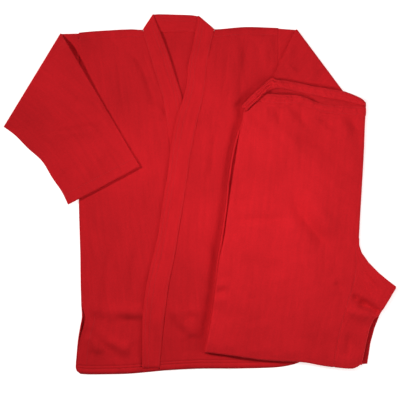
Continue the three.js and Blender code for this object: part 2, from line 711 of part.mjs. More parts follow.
// The lowest layer: the other leg and its gusset, which show past the edges of the layers above
function underLayer(name, columns, rows, left, right) {
  return wall(name, COLOURS.trousers, columns, rows.length - 1, (i, j, face) => {
    const [x, y] = gridPoint(left, right, rows[j], i / columns);
    return [x, y, supportZ(x, y) + face * CLOTH];
  });
}

const backCasing = {
  outer: polyline(BACK_CASING, "outerX", "outerY"),
  inner: polyline(BACK_CASING, "innerX", "innerY"),
};

function underLeg() {
  const right = (y) => (y > GUSSET_TOP ? trouserRight(y) - 2 : gusset.seam(y) - SEAM_GAP);
  const rows = [(x) => backCasing.inner(x), ...levelRows(LEG_LEVELS), foldAcross.under];
  return underLayer("leg_right", 12, rows, trouserLeft.under, right);
}

function underGusset() {
  const levels = LEG_LEVELS.filter((level) => level < GUSSET_TOP);
  return underLayer("gusset_right", 5, [...levelRows(levels), foldAcross.under], gusset.seam, gusset.under);
}

// Under face of the back casing: level with the leg at its slanted side, lower behind the open front
const OPENING = { from: 136, to: 166, depth: 2.2 };
const casingZ = (x, y) => pileTopZ(x, y) - CASING - OPENING.depth * ease((x - OPENING.from) / (OPENING.to - OPENING.from));

// The layers between the upper leg and the lowest one, as one solid whose rounded sides show the layers' edges
const LAYER_EDGES = [
  { out: 4.2, down: 0.16 },
  { out: 4.4, down: 0.4 },
  { out: 3.1, down: 0.48 },
  { out: 4.4, down: 0.56 },
  { out: 4.4, down: 0.94 },
];
const CASING_INSET = 3.5; // the hidden layers end this far inside the back casing's outer edge
const GUSSET_INSET = 6.5; // and this much further inside the gusset, whose edges slant
const GUSSET_INSET_FROM = -45;
function hiddenLayers() {
  const columns = 10;
  const crescent = [0.35, 0.62, 0.78, 0.92, 1];
  const innerEdge = (x) => backCasing.inner(x) - 1.5;
  const rows = [
    (x) => backCasing.outer(x) - CASING_INSET,
    (x) => backCasing.inner(x) + 0.4,
    ...crescent.toReversed().map((t) => (x) => lerp(LEG_LEVELS[0], innerEdge(x), t)),
    ...levelRows(LEG_LEVELS),
    upperFold,
  ];
  const right = (y) => {
    const edge = y > GUSSET_TOP ? trouserRight(y) : gusset.upper(y);
    return edge - PILE.roll - GUSSET_INSET * ease((GUSSET_INSET_FROM - y) / 30);
  };
  const grid = rows.map((row, j) =>
    fractions(columns).map((share) => {
      const [x, y] = gridPoint(upperLegLeft, right, row, share);
      return { x, y, underCasing: j < 2 };
    }),
  );
  const topZ = ({ x, y, underCasing }) => {
    const opened = OPENING.depth * ease((y - waistSeam(x) - 1) / 10) * ease((x - OPENING.from) / 20);
    const open = pileTopZ(x, y) - LAYER - PILE.slack - opened;
    return underCasing ? casingZ(x, y) - LAYER : open;
  };
  const bottomZ = ({ x, y }) => supportZ(x, y, PILE.softDrop) + LAYER;
  return puck("leg_layers", COLOURS.hidden, grid, topZ, bottomZ);
}

// A thick solid under a grid, with a quarter round at the top of its side and the layers' edges below
function puck(name, colour, grid, topZ, bottomZ) {
  const along = grid.length - 1;
  const across = grid[0].length - 1;
  const flat = (j, i) => j * (across + 1) + i;
  const points = [topZ, bottomZ].flatMap((z) => grid.flatMap((row) => row.map((p) => [p.x, p.y, z(p)])));
  const bottomStart = (along + 1) * (across + 1);
  const loop = [
    ...Array.from({ length: across }, (_, i) => [0, i]),
    ...Array.from({ length: along }, (_, j) => [j, across]),
    ...Array.from({ length: across }, (_, i) => [along, across - i]),
    ...Array.from({ length: along }, (_, j) => [along - j, 0]),
  ];
  const radius = PILE.roll - LAYER - PILE.slack;
  const profile = [
    (top) => ({ out: radius * Math.SQRT1_2, z: top - radius * (1 - Math.SQRT1_2) }),
    (top) => ({ out: radius, z: top - radius }),
    ...LAYER_EDGES.map((edge) => (top, bottom) => ({ out: edge.out, z: lerp(top - radius, bottom, edge.down) })),
  ];
  const ringStart = points.length;
  profile.forEach((step) => {
    loop.forEach(([j, i], k) => {
      const [pj, pi] = loop[(k + loop.length - 1) % loop.length];
      const [nj, ni] = loop[(k + 1) % loop.length];
      const dx = grid[nj][ni].x - grid[pj][pi].x;
      const dy = grid[nj][ni].y - grid[pj][pi].y;
      const size = Math.hypot(dx, dy);
      const p = grid[j][i];
      const { out, z } = step(topZ(p), bottomZ(p));
      points.push([p.x - (dy / size) * out, p.y + (dx / size) * out, z]);
    });
  });
  const faces = [];
  for (let j = 0; j < along; j += 1)
    for (let i = 0; i < across; i += 1) {
      const corners = [flat(j, i), flat(j, i + 1), flat(j + 1, i + 1), flat(j + 1, i)];
      faces.push(corners);
      faces.push(corners.toReversed().map((corner) => corner + bottomStart));
    }
  const ring = (r, k) => {
    const [j, i] = loop[k % loop.length];
    if (r < 0) return flat(j, i);
    if (r >= profile.length) return bottomStart + flat(j, i);
    return ringStart + r * loop.length + (k % loop.length);
  };
  for (let r = -1; r < profile.length; r += 1)
    for (let k = 0; k < loop.length; k += 1)
      faces.push([ring(r, k), ring(r + 1, k), ring(r + 1, k + 1), ring(r, k + 1)]);
  return closedMesh(name, colour, points, faces);
}

// The waistband's front casing, on the upper leg's edge, and the back casing behind it
function frontBand() {
  const ACROSS = 3;
  const seam = fractions(UPPER_LEG_COLUMNS).map((share) => gridPoint(upperLegLeft, upperLegRight, waistSeam, share));
  const ends = [FRONT_CASING[0], FRONT_CASING.at(-1)].map((row) => [row.x, row.seam]);
  const stations = [ends[0], ...seam.filter(([x]) => x > FRONT_CASING[1].x).map(([x, y]) => [x, y + SEAM_GAP]), ends[1]];
  return wall("waistband_front", COLOURS.band, ACROSS, stations.length - 1, (i, j, face) => {
    const [x, seamY] = stations[j];
    const y = lerp(seamY, frontCasing.top(x), i / ACROSS);
    const swell = face * 0.8 * Math.sin((Math.PI * i) / ACROSS);
    return [x, y, legTopZ(x, y) - CLOTH + face * (CASING - 0.8) + swell];
  });
}

function backBand() {
  const ACROSS = 3;
  return wall("waistband_back", COLOURS.band, ACROSS, BACK_CASING.length - 1, (i, j, face) => {
    const row = BACK_CASING[j];
    const [x, y] = mix([row.innerX, row.innerY + 1], [row.outerX, row.outerY], i / ACROSS);
    const swell = face * 0.8 * Math.sin((Math.PI * i) / ACROSS);
    return [x, y, casingZ(x, y) + face * (CASING - 0.8) + swell];
  });
}

const gi = new THREE.Group();
gi.add(back(), rightFront(), leftFront(), collarBand());
gi.add(sleeve("sleeve_right", SLEEVES.right), sleeve("sleeve_left", SLEEVES.left));
gi.add(hiddenLayers(), upperLeg(), upperGusset(), underLeg(), underGusset());
gi.add(frontBand(), backBand());

export default gi;
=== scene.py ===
"""A karate gi of red cotton drill, jacket and trousers, folded and laid flat.

Sizes and places are in millimetres in the frame's axes: +X right, +Y to the collar, +Z up from the surface.
Left and right are the wearer's. Meshes are written in metres.
"""
import logging
import math
from dataclasses import dataclass, field
from enum import Enum
from typing import Callable, Sequence

import bmesh
import bpy
import numpy as np
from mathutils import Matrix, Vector

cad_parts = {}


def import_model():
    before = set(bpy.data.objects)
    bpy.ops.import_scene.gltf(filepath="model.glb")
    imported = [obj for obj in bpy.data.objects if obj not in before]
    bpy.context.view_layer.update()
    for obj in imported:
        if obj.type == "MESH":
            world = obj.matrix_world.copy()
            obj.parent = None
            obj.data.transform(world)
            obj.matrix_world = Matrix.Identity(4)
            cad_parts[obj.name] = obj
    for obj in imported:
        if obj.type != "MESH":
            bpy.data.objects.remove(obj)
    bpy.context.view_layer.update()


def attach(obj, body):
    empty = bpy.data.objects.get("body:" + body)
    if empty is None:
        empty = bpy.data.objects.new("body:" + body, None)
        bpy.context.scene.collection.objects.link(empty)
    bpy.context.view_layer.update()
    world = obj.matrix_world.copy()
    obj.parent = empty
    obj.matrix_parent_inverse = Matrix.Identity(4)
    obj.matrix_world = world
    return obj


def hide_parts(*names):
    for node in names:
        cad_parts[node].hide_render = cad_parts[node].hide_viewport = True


LOG = logging.getLogger("karate_gi")
MM = 0.001
Line = Callable[[np.ndarray], np.ndarray]

# Walls and layers, as the solids have them
CLOTH = 1.5
BAND = 2.4
CASING = 3.2
SEAM_GAP = 0.3
LAYER = CLOTH + SEAM_GAP
DRILL = 1.1  # one ply of drill as drawn
HEM_PLY = 0.5  # what a turned hem adds to it
GROOVE = 1.0  # how deep a row of stitches pulls the cloth in
PULL = 1.6  # how far from the row it still does
LOWEST = -0.1  # how far a trough sinks into cloth that lies on other cloth
FOLD_LIFT = 1.25  # what every fold's height is multiplied by
FAR = 1e3  # a distance past which no row of stitches is near
STITCH_FINE = (-2.2, -1.1, 0.0, 1.1, 2.2)  # lines of a grid on both sides of a row of stitches


def ease(t: np.ndarray) -> np.ndarray:
    """Smooth step from 0 to 1.

    Args:
        t: Places, of which 0 to 1 is the step.

    Returns:
        The step's height at each place.
    """
    s = np.clip(t, 0.0, 1.0)
    return s * s * (3.0 - 2.0 * s)


def ramp(place: np.ndarray, start: float, end: float) -> np.ndarray:
    """Smooth step over places, 0 up to the start and 1 from the end on."""
    return ease((place - start) / (end - start))


def lerp(a: np.ndarray, b: np.ndarray, t: np.ndarray) -> np.ndarray:
    """The value a share t of the way from a to b."""
    return a + (b - a) * t


def bell(distance: np.ndarray, width: float) -> np.ndarray:
    """A smooth bump: 1 at no distance, dying out past the width."""
    return np.exp(-((distance / width) ** 2))


class Curve:
    """A line through knots, smooth or with straight stretches."""

    def __init__(self, knots: Sequence[float], values: Sequence[float], straight: bool = False) -> None:
        """Sorts the knots and works out the slope at each.

        Args:
            knots: Places.
            values: The value at each place.
            straight: Whether the stretches between knots are straight.
        """
        order = np.argsort(knots)
        self.knots = np.asarray(knots, float)[order]
        self.values = np.asarray(values, float)[order]
        self.straight = straight
        last = len(self.knots) - 1
        before = np.maximum(np.arange(last + 1) - 1, 0)
        after = np.minimum(np.arange(last + 1) + 1, last)
        rise = self.values[after] - self.values[before]
        self.slopes = rise / (self.knots[after] - self.knots[before])

    def __call__(self, place: np.ndarray) -> np.ndarray:
        """The value at each place, held level past the ends."""
        at = np.clip(np.asarray(place, float), self.knots[0], self.knots[-1])
        if self.straight:
            return np.interp(at, self.knots, self.values)
        i = np.clip(np.searchsorted(self.knots, at, side="right") - 1, 0, len(self.knots) - 2)
        span = self.knots[i + 1] - self.knots[i]
        t = (at - self.knots[i]) / span
        bend = t * (1.0 - t) * span
        rise = (self.values[i + 1] - self.values[i]) * ease(t)
        return self.values[i] + rise + bend * ((1.0 - t) * self.slopes[i] - t * self.slopes[i + 1])


class Table:
    """Rows of numbers under named columns."""

    def __init__(self, columns: str, rows: Sequence[tuple[float, ...]]) -> None:
        """Keeps the rows by column name.

        Args:
            columns: The columns' names, with spaces between.
            rows: The rows, one number for each column.
        """
        self.columns = {name: [row[k] for row in rows] for k, name in enumerate(columns.split())}

    def curve(self, place: str, value: str, straight: bool = False) -> Curve:
        """The curve of one column over another."""
        return Curve(self.columns[place], self.columns[value], straight)

    def points(self, x: str, y: str) -> list[tuple[float, float]]:
        """Two columns as points."""
        return list(zip(self.columns[x], self.columns[y]))


@dataclass(frozen=True)
class Fold:
    """A soft ridge, or a trough where its height is negative, along a bowed line."""

    x0: float
    y0: float
    x1: float
    y1: float
    height: float
    width: float
    bow: float = 0.0
    lean: float = 0.0  # how much wider its left flank is than its right one, seen along it
    fade: float = 0.4  # share of its length over which each end dies out

    def lift(self, x: np.ndarray, y: np.ndarray) -> np.ndarray:
        """Its height at points.

        Args:
            x: Places across.
            y: Places along.

        Returns:
            The height that the fold adds there.
        """
        dx, dy = self.x1 - self.x0, self.y1 - self.y0
        length = math.hypot(dx, dy)
        t = ((x - self.x0) * dx + (y - self.y0) * dy) / length**2
        off = (-(x - self.x0) * dy + (y - self.y0) * dx) / length
        off = off - self.bow * 4.0 * t * (1.0 - t)
        width = self.width * np.where(off > 0, 1.0 + self.lean, 1.0 - self.lean)
        ends = ease((t + 0.08) / self.fade) * ease((1.08 - t) / self.fade)
        return FOLD_LIFT * self.height * ends * np.exp(-np.abs(off / width) ** 1.7)


def folds(*rows: tuple[float, ...]) -> tuple[Fold, ...]:
    """Folds from rows of numbers: both ends, height, width and, where they matter, bow, lean and fade."""
    return tuple(Fold(*row) for row in rows)


@dataclass(frozen=True)
class Ripple:
    """Gentle unevenness of cloth that has been handled: a few long waves in seeded directions."""

    seed: int
    height: float
    wavelength: float
    waves: int = 7
    heading: float = 0.0  # degrees that the waves run in on average, 0 for crests along Y
    spread: float = 180.0

    def lift(self, x: np.ndarray, y: np.ndarray) -> np.ndarray:
        """Its height at points, about as often above as below nought."""
        source = np.random.default_rng(self.seed)
        total = np.zeros(np.broadcast(x, y).shape)
        for _ in range(self.waves):
            turn = math.radians(self.heading + self.spread * source.uniform(-1, 1))
            phase = source.uniform(0, 2 * math.pi)
            number = 2 * math.pi / (self.wavelength * source.uniform(0.6, 1.7))
            total += np.sin(number * (x * math.cos(turn) + y * math.sin(turn)) + phase)
        return self.height * total / math.sqrt(self.waves)


def lifts(shapes: Sequence[Fold | Ripple], x: np.ndarray, y: np.ndarray) -> np.ndarray:
    """The sum of several folds and ripples at points."""
    total = np.zeros(np.broadcast(x, y).shape)
    for shape in shapes:
        total = total + shape.lift(x, y)
    return total


def outside_distance(x: np.ndarray, y: np.ndarray, outline: Sequence[tuple[float, float]]) -> np.ndarray:
    """How far points lie outside a closed outline.

    Args:
        x: Places across.
        y: Places along.
        outline: The outline's corners in order.

    Returns:
        The distance to the outline, 0 inside it.
    """
    inside = np.zeros(x.shape, bool)
    nearest = np.full(x.shape, np.inf)
    for (px, py), (qx, qy) in zip(outline, [*outline[1:], outline[0]]):
        dx, dy = qx - px, qy - py
        t = np.clip(((x - px) * dx + (y - py) * dy) / max(dx * dx + dy * dy, 1e-9), 0.0, 1.0)
        nearest = np.minimum(nearest, np.hypot(x - px - dx * t, y - py - dy * t))
        if py != qy:
            crosses = (py > y) != (qy > y)
            inside ^= crosses & (x < px + dx * (y - py) / dy)
    return np.where(inside, 0.0, nearest)


@dataclass
class Patch:
    """A four-sided stretch of cloth between curved edges, with its grid's lines gathered near some edges."""

    left: Line
    right: Line
    bottom: Line
    top: Line
    near_left: Sequence[float] = (0.0,)
    near_right: Sequence[float] = (0.0,)
    near_bottom: Sequence[float] = (0.0,)
    near_top: Sequence[float] = (0.0,)
    step: float = 6.0

    def grid(self) -> tuple[np.ndarray, np.ndarray]:
        """Works out the grid.

        Returns:
            The x and the y of each grid point, a row of the arrays for each line across.
        """
        middle = float(self.bottom(np.array(0.0)) + self.top(np.array(0.0))) / 2
        width = float(self.right(np.array(middle)) - self.left(np.array(middle)))
        height = float(self.top(np.array(0.0)) - self.bottom(np.array(0.0)))
        columns = max(int(width / self.step), 4)
        rows = max(int(height / self.step), 4)
        v = np.linspace(0.0, 1.0, len(self.near_bottom) + rows - 1 + len(self.near_top))
        u = np.linspace(0.0, 1.0, len(self.near_left) + columns - 1 + len(self.near_right))
        x = np.zeros((len(v), len(u))) + lerp(self.left(np.array(middle)), self.right(np.array(middle)), u)
        y = np.zeros_like(x)
        for _ in range(4):
            y = self.between(self.bottom(x), self.top(x), self.near_bottom, self.near_top, rows, 0)
            x = self.between(self.left(y), self.right(y), self.near_left, self.near_right, columns, 1)
        return x, y

    @staticmethod
    def between(low: np.ndarray, high: np.ndarray, near_low: Sequence[float], near_high: Sequence[float],
                count: int, axis: int) -> np.ndarray:
        """Places between two edges: fixed distances near each, and even shares in the middle.

        Args:
            low: The first edge's place at each grid point.
            high: The second edge's place at each grid point.
            near_low: Distances from the first edge, rising.
            near_high: Distances from the second edge, rising.
            count: How many even steps the middle has.
            axis: The grid's axis that runs from the first edge to the second.

        Returns:
            The places.
        """
        shares = np.linspace(0.0, 1.0, count + 1)[1:-1]
        sizes = (len(near_low), len(shares), len(near_high))
        share = np.concatenate([np.zeros(sizes[0]), shares, np.ones(sizes[2])])
        offset = np.concatenate([near_low, np.zeros(sizes[1]), -np.asarray(near_high)[::-1]])
        ends = np.concatenate([np.ones(sizes[0]), np.zeros(sizes[1]), np.ones(sizes[2])])
        if axis == 0:
            share, offset, ends = share[:, None], offset[:, None], ends[:, None]
        inner = lerp(low + near_low[-1], high - near_high[-1], share)
        fixed = np.where(share < 0.5, low, high) + offset
        return np.where(ends > 0.5, fixed, inner)


def stitched(rows: Sequence[float], reach: float, step: float = 5.0) -> tuple[float, ...]:
    """Distances of a grid's lines from an edge that has rows of stitches along it.

    Args:
        rows: The rows' distances from the edge.
        reach: How far the lines go in.
        step: The widest spacing of the lines.

    Returns:
        The distances, rising from 0.
    """
    fine = {round(row + d, 2) for row in rows for d in STITCH_FINE if row + d > 0.5}
    coarse = {round(d, 2) for d in np.arange(0.0, reach, step) if all(abs(d - f) > 1.5 for f in fine)}
    return tuple(sorted(fine | coarse | {0.0}))


def grooves(distance: np.ndarray, rows: Sequence[float], depth: float = GROOVE) -> np.ndarray:
    """How far rows of stitches pull the cloth in at a distance from its edge."""
    return sum((depth * bell(distance - row, PULL) for row in rows), np.zeros_like(distance))


def rim_points(rows: int, columns: int) -> list[tuple[int, int]]:
    """Row and column of a grid's points, once round its rim."""
    last_row, last_column = rows - 1, columns - 1
    points = [(0, i) for i in range(last_column)] + [(j, last_column) for j in range(last_row)]
    points += [(last_row, i) for i in range(last_column, 0, -1)]
    return points + [(j, 0) for j in range(last_row, 0, -1)]


def arc_lengths(mid: np.ndarray) -> np.ndarray:
    """Flat cloth coordinates of a grid: how far each point is along its row and its column, in metres."""
    across = np.linalg.norm(np.diff(mid, axis=1), axis=2)
    along = np.linalg.norm(np.diff(mid, axis=0), axis=2)
    u = np.concatenate([np.zeros((mid.shape[0], 1)), np.cumsum(across, axis=1)], axis=1)
    v = np.concatenate([np.zeros((1, mid.shape[1])), np.cumsum(along, axis=0)], axis=0)
    return np.stack([u - u[:, u.shape[1] // 2][:, None], v], axis=2) * MM


class Mesh:
    """Vertices, faces and flat cloth coordinates that become one Blender object."""

    def __init__(self) -> None:
        """Starts empty."""
        self.points: list[np.ndarray] = []
        self.flats: list[np.ndarray] = []
        self.faces: list[np.ndarray] = []
        self.count = 0

    def add(self, points: np.ndarray, flats: np.ndarray) -> np.ndarray:
        """Adds a block of points.

        Args:
            points: Places in millimetres, in any block shape with 3 numbers last.
            flats: Flat cloth coordinates in metres, in the same block shape with 2 numbers last.

        Returns:
            The points' numbers, in the block's shape.
        """
        shape = points.shape[:-1]
        size = int(np.prod(shape))
        self.points.append(points.reshape(size, 3))
        self.flats.append(np.broadcast_to(flats, (*shape, 2)).reshape(size, 2))
        numbers = np.arange(self.count, self.count + size).reshape(shape)
        self.count += size
        return numbers

    def quads(self, a: np.ndarray, b: np.ndarray, c: np.ndarray, d: np.ndarray) -> None:
        """Adds four-sided faces, with each corner's numbers in blocks of one shape."""
        self.faces.append(np.stack([a.ravel(), b.ravel(), c.ravel(), d.ravel()], axis=1))

    def sheet(self, at: np.ndarray, flip: bool = False, ring: bool = False) -> None:
        """Adds the faces of a block of points.

        Args:
            at: The points' numbers, rows by columns.
            flip: Whether the faces point the other way.
            ring: Whether the last column joins the first.
        """
        block = np.concatenate([at, at[:, :1]], axis=1) if ring else at
        corners = [block[:-1, :-1], block[:-1, 1:], block[1:, 1:], block[1:, :-1]]
        self.quads(*(corners[::-1] if flip else corners))

    def object(self, name: str) -> bpy.types.Object:
        """Makes the object, with its faces turned outwards and its flat coordinates as a UV map."""
        faces = np.concatenate(self.faces)
        flats = np.concatenate(self.flats)
        mesh = bpy.data.meshes.new(name)
        mesh.from_pydata((np.concatenate(self.points) * MM).tolist(), [], faces.tolist())
        layer = mesh.uv_layers.new(name="flat")
        layer.data.foreach_set("uv", flats[faces.ravel()].ravel())
        built = bmesh.new()
        built.from_mesh(mesh)
        bmesh.ops.recalc_face_normals(built, faces=built.faces)
        built.to_mesh(mesh)
        built.free()
        mesh.polygons.foreach_set("use_smooth", np.ones(len(mesh.polygons), bool))
        made = bpy.data.objects.new(name, mesh)
        bpy.context.scene.collection.objects.link(made)
        return made


def unit(vectors: np.ndarray) -> np.ndarray:
    """Vectors of length 1 in the same directions."""
    return vectors / np.maximum(np.linalg.norm(vectors, axis=-1, keepdims=True), 1e-9)


class Cloth:
    """A middle surface of cloth, rows by columns of points, with its thickness at each point."""

    def __init__(self, mid: np.ndarray, thick: np.ndarray, ring: bool = False) -> None:
        """Works out both faces.

        Args:
            mid: The middle surface's points in millimetres.
            thick: The thickness at each point.
            ring: Whether the columns go round, as in a tube.
        """
        self.mid, self.ring = mid, ring
        if ring:
            self.across = np.roll(mid, -1, axis=1) - np.roll(mid, 1, axis=1)
        else:
            self.across = np.gradient(mid, axis=1)
        self.along = np.gradient(mid, axis=0)
        self.normal = unit(np.cross(self.across, self.along))
        self.half = np.broadcast_to(thick, mid.shape[:2])[..., None] / 2

    def face(self, side: float = 1.0, lift: float = 0.12) -> np.ndarray:
        """Points just off the outer face (side 1) or the inner one (side -1), for stitches."""
        return self.mid + side * self.normal * (self.half + lift)

    def object(self, name: str) -> bpy.types.Object:
        """Makes the closed shell, with rounded edges.

        Args:
            name: The object's name.

        Returns:
            The object.
        """
        mid, ring = self.mid, self.ring
        flats = arc_lengths(mid)
        mesh = Mesh()
        outer = mesh.add(mid + self.normal * self.half, flats)
        inner = mesh.add(mid - self.normal * self.half, flats)
        mesh.sheet(outer, ring=ring)
        mesh.sheet(inner, flip=True, ring=ring)
        down, sideways = unit(self.along), unit(self.across)
        rims = np.zeros_like(mid)
        rims[0] -= down[0]
        rims[-1] += down[-1]
        if not ring:
            rims[:, 0] -= sideways[:, 0]
            rims[:, -1] += sideways[:, -1]
        edge = mid + unit(rims) * self.half * 0.9
        rows, columns = mid.shape[:2]
        if ring:
            loops = [[(row, i) for i in range(columns)] for row in (0, rows - 1)]
        else:
            loops = [rim_points(rows, columns)]
        for loop in loops:
            j, i = np.array(loop).T
            rim = mesh.add(edge[j, i], flats[j, i])
            first, second = outer[j, i], inner[j, i]
            mesh.quads(first, rim, np.roll(rim, -1), np.roll(first, -1))
            mesh.quads(rim, second, np.roll(second, -1), np.roll(rim, -1))
        return mesh.object(name)


def linear(hex_colour: str) -> tuple[float, float, float, float]:
    """A colour's linear values.

    Args:
        hex_colour: The sRGB colour, such as "C41E26".

    Returns:
        Red, green, blue and alpha.
    """
    channels = [int(hex_colour[k:k + 2], 16) / 255 for k in (0, 2, 4)]
    curve = [c / 12.92 if c <= 0.04045 else ((c + 0.055) / 1.055) ** 2.4 for c in channels]
    return (*curve, 1.0)


def add_node(tree: bpy.types.NodeTree, kind: str, settings: dict | None = None, inputs: dict | None = None,
             **values: object) -> bpy.types.Node:
    """Adds a node.

    Args:
        tree: The tree it goes into.
        kind: The node's type name.
        settings: Attributes of the node.
        inputs: Its inputs by name or number, each with the output that feeds it or its constant.
        values: Its inputs that hold a constant, with _ for a space in the name.

    Returns:
        The node.
    """
    node = tree.nodes.new(kind)
    for key, value in (settings or {}).items():
        setattr(node, key, value)
    for key, value in values.items():
        node.inputs[key.replace("_", " ")].default_value = value
    for key, given in (inputs or {}).items():
        if isinstance(given, bpy.types.NodeSocket):
            tree.links.new(given, node.inputs[key])
        else:
            node.inputs[key].default_value = given
    return node


def new_material(name: str) -> tuple[bpy.types.Material, bpy.types.NodeTree]:
    """A material with an empty node tree."""
    made = bpy.data.materials.new(name)
    made.use_nodes = True
    made.node_tree.nodes.clear()
    return made, made.node_tree


def wave_scale(spacing_mm: float) -> float:
    """The Scale of a Wave texture whose bands are so far apart on coordinates in metres."""
    return math.pi / (10.0 * spacing_mm * MM)


@dataclass(frozen=True)
class DrillFinish:
    """Piece-dyed cotton drill: matt, with fine slanting ribs, a soft nap and slightly uneven dye."""

    name: str
    colour: str
    deep: str  # the colour where the yarns lie low or took more dye
    rib_mm: float = 1.5  # the colour of painted shade where the slub noise lowers the bump, and of streaks and patches that took more dye
    rib_slant: float = 58.0
    rib_relief: float = 0.7  # height of the ribs beside that of the slubs
    relief_mm: float = 0.22
    slub_mm: float = 4.0
    slub_share: float = 1.6  # how much the slub noise changes the tone beside long streaks; it also raises the bump, so low yarns carry painted shade
    streak_mm: float = 8.0
    streak_stretch: float = 0.1
    uneven_mm: float = 150.0
    yarn_share: float = 0.45  # how much the yarns change the tone beside the dye
    tones: tuple[float, float] = (0.77, 1.43)  # sums of the patterns that give the deep and the full colour
    roughness: float = 0.9
    sheen: float = 0.06
    nap: str = "E8606A"

    def material(self) -> bpy.types.Material:
        """Builds the material."""
        made, tree = new_material(self.name)
        flat = add_node(tree, "ShaderNodeUVMap", {"uv_map": "flat"})
        place = add_node(tree, "ShaderNodeTexCoord")
        slant = add_node(tree, "ShaderNodeMapping", {}, {"Vector": flat.outputs["UV"]},
                         Rotation=(0.0, 0.0, math.radians(self.rib_slant)))
        ribs = add_node(tree, "ShaderNodeTexWave", {"bands_direction": "X"},
                        {"Vector": slant.outputs["Vector"]}, Scale=wave_scale(self.rib_mm), Distortion=0.6,
                        Detail=1.0)
        slubs = add_node(tree, "ShaderNodeTexNoise", {}, {"Vector": flat.outputs["UV"]},
                         Scale=1.0 / (self.slub_mm * MM), Detail=4.0, Roughness=0.65)
        dye = add_node(tree, "ShaderNodeTexNoise", {}, {"Vector": place.outputs["Object"]},
                       Scale=1.0 / (self.uneven_mm * MM), Detail=3.0, Roughness=0.55)
        streak = self.streak_mm * MM
        drawn_out = add_node(tree, "ShaderNodeMapping", {}, {"Vector": flat.outputs["UV"]},
                             Scale=(1.0 / streak, self.streak_stretch / streak, 1.0))
        streaks = add_node(tree, "ShaderNodeTexNoise", {}, {"Vector": drawn_out.outputs["Vector"]},
                           Scale=1.0, Detail=2.0, Roughness=0.5)
        add = {"operation": "MULTIPLY_ADD"}
        # Painted shade: the slub noise that raises the bump also lightens the colour, so low yarns are
        # darker; the streaks and the broad dye noise are the cloth's own tone
        yarns = add_node(tree, "ShaderNodeMath", add,
                         {0: slubs.outputs["Fac"], 1: self.slub_share, 2: streaks.outputs["Fac"]})
        grain = add_node(tree, "ShaderNodeMath", add,
                         {0: yarns.outputs[0], 1: self.yarn_share, 2: dye.outputs["Fac"]})
        tone = add_node(tree, "ShaderNodeMapRange", {}, {"Value": grain.outputs[0]},
                        From_Min=self.tones[0], From_Max=self.tones[1])
        tint = add_node(tree, "ShaderNodeMix", {"data_type": "RGBA"},
                        {0: tone.outputs["Result"], 6: linear(self.deep), 7: linear(self.colour)})
        relief = add_node(tree, "ShaderNodeMath", add,
                          {0: ribs.outputs["Fac"], 1: self.rib_relief, 2: slubs.outputs["Fac"]})
        bump = add_node(tree, "ShaderNodeBump", {}, {"Height": relief.outputs[0]}, Strength=0.45,
                        Distance=self.relief_mm * MM)
        shader = add_node(tree, "ShaderNodeBsdfPrincipled", {},
                          {"Base Color": tint.outputs[2], "Normal": bump.outputs["Normal"]},
                          Roughness=self.roughness, Sheen_Weight=self.sheen, Sheen_Roughness=0.55,
                          Sheen_Tint=linear(self.nap), Specular_IOR_Level=0.25)
        add_node(tree, "ShaderNodeOutputMaterial", {}, {"Surface": shader.outputs["BSDF"]})
        return made


@dataclass(frozen=True)
class ThreadFinish:
    """Spun polyester sewing thread, dyed to match: a touch smoother than the drill."""

    name: str
    colour: str
    twist_mm: float = 0.6
    roughness: float = 0.6

    def material(self) -> bpy.types.Material:
        """Builds the material."""
        made, tree = new_material(self.name)
        place = add_node(tree, "ShaderNodeTexCoord")
        twist = add_node(tree, "ShaderNodeTexWave", {"bands_direction": "DIAGONAL"},
                         {"Vector": place.outputs["Object"]}, Scale=wave_scale(self.twist_mm))
        bump = add_node(tree, "ShaderNodeBump", {}, {"Height": twist.outputs["Fac"]}, Strength=0.3,
                        Distance=0.1 * MM)
        shader = add_node(tree, "ShaderNodeBsdfPrincipled", {}, {"Normal": bump.outputs["Normal"]},
                          Base_Color=linear(self.colour), Roughness=self.roughness)
        add_node(tree, "ShaderNodeOutputMaterial", {}, {"Surface": shader.outputs["BSDF"]})
        return made


class Slot(Enum):
    """The drill finishes that pieces take."""

    JACKET = "jacket_drill"
    BAND = "band_drill"
    TROUSERS = "trouser_drill"
    HIDDEN = "hidden_drill"


class Dresser:
    """Gives finished pieces their material and body, and hides the CAD parts they stand for."""

    def __init__(self) -> None:
        """Builds each finish once."""
        finishes = {
            # Woven cotton twill, piece-dyed: a deep, quite matt red with slanting ribs and faint streaks
            Slot.JACKET: DrillFinish("red_cotton_drill", "D6131E", "BC0C16"),
            # The same drill in several stitched plies, painted a little lighter than the jacket's: painted
            # light for the fuller light on the firmer band
            Slot.BAND: DrillFinish("red_cotton_drill_band_painted_light", "DC1520", "C10D17"),
            # The same drill on top of the pile, painted a touch lighter than the jacket's: painted light for
            # the brighter light on the pile's top
            Slot.TROUSERS: DrillFinish("red_cotton_drill_trousers_painted_light", "DC1621", "C30E18"),
            # The same drill on the turned edges of inner layers, painted a little darker: painted shade for
            # the shaded edges of the pile
            Slot.HIDDEN: DrillFinish("red_cotton_drill_painted_shade", "D2121C", "B60C16"),
        }
        self.materials = {slot: finish.material() for slot, finish in finishes.items()}
        # Spun polyester, dyed to match: small darker beads with a slight gloss
        self.thread = ThreadFinish("red_polyester_thread", "C01822").material()

    def dress(self, piece: bpy.types.Object, slot: Slot, node: str | None = None) -> bpy.types.Object:
        """Dresses a piece, and lets it stand for its node.

        Args:
            piece: The piece.
            slot: The finish that it takes, when it stands for a node.
            node: The CAD node that it stands for, if any.

        Returns:
            The piece.
        """
        piece.data.materials.clear()
        piece.data.materials.append(self.thread if node is None else self.materials[slot])
        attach(piece, "root")
        if node is not None:
            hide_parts(node)
        return piece


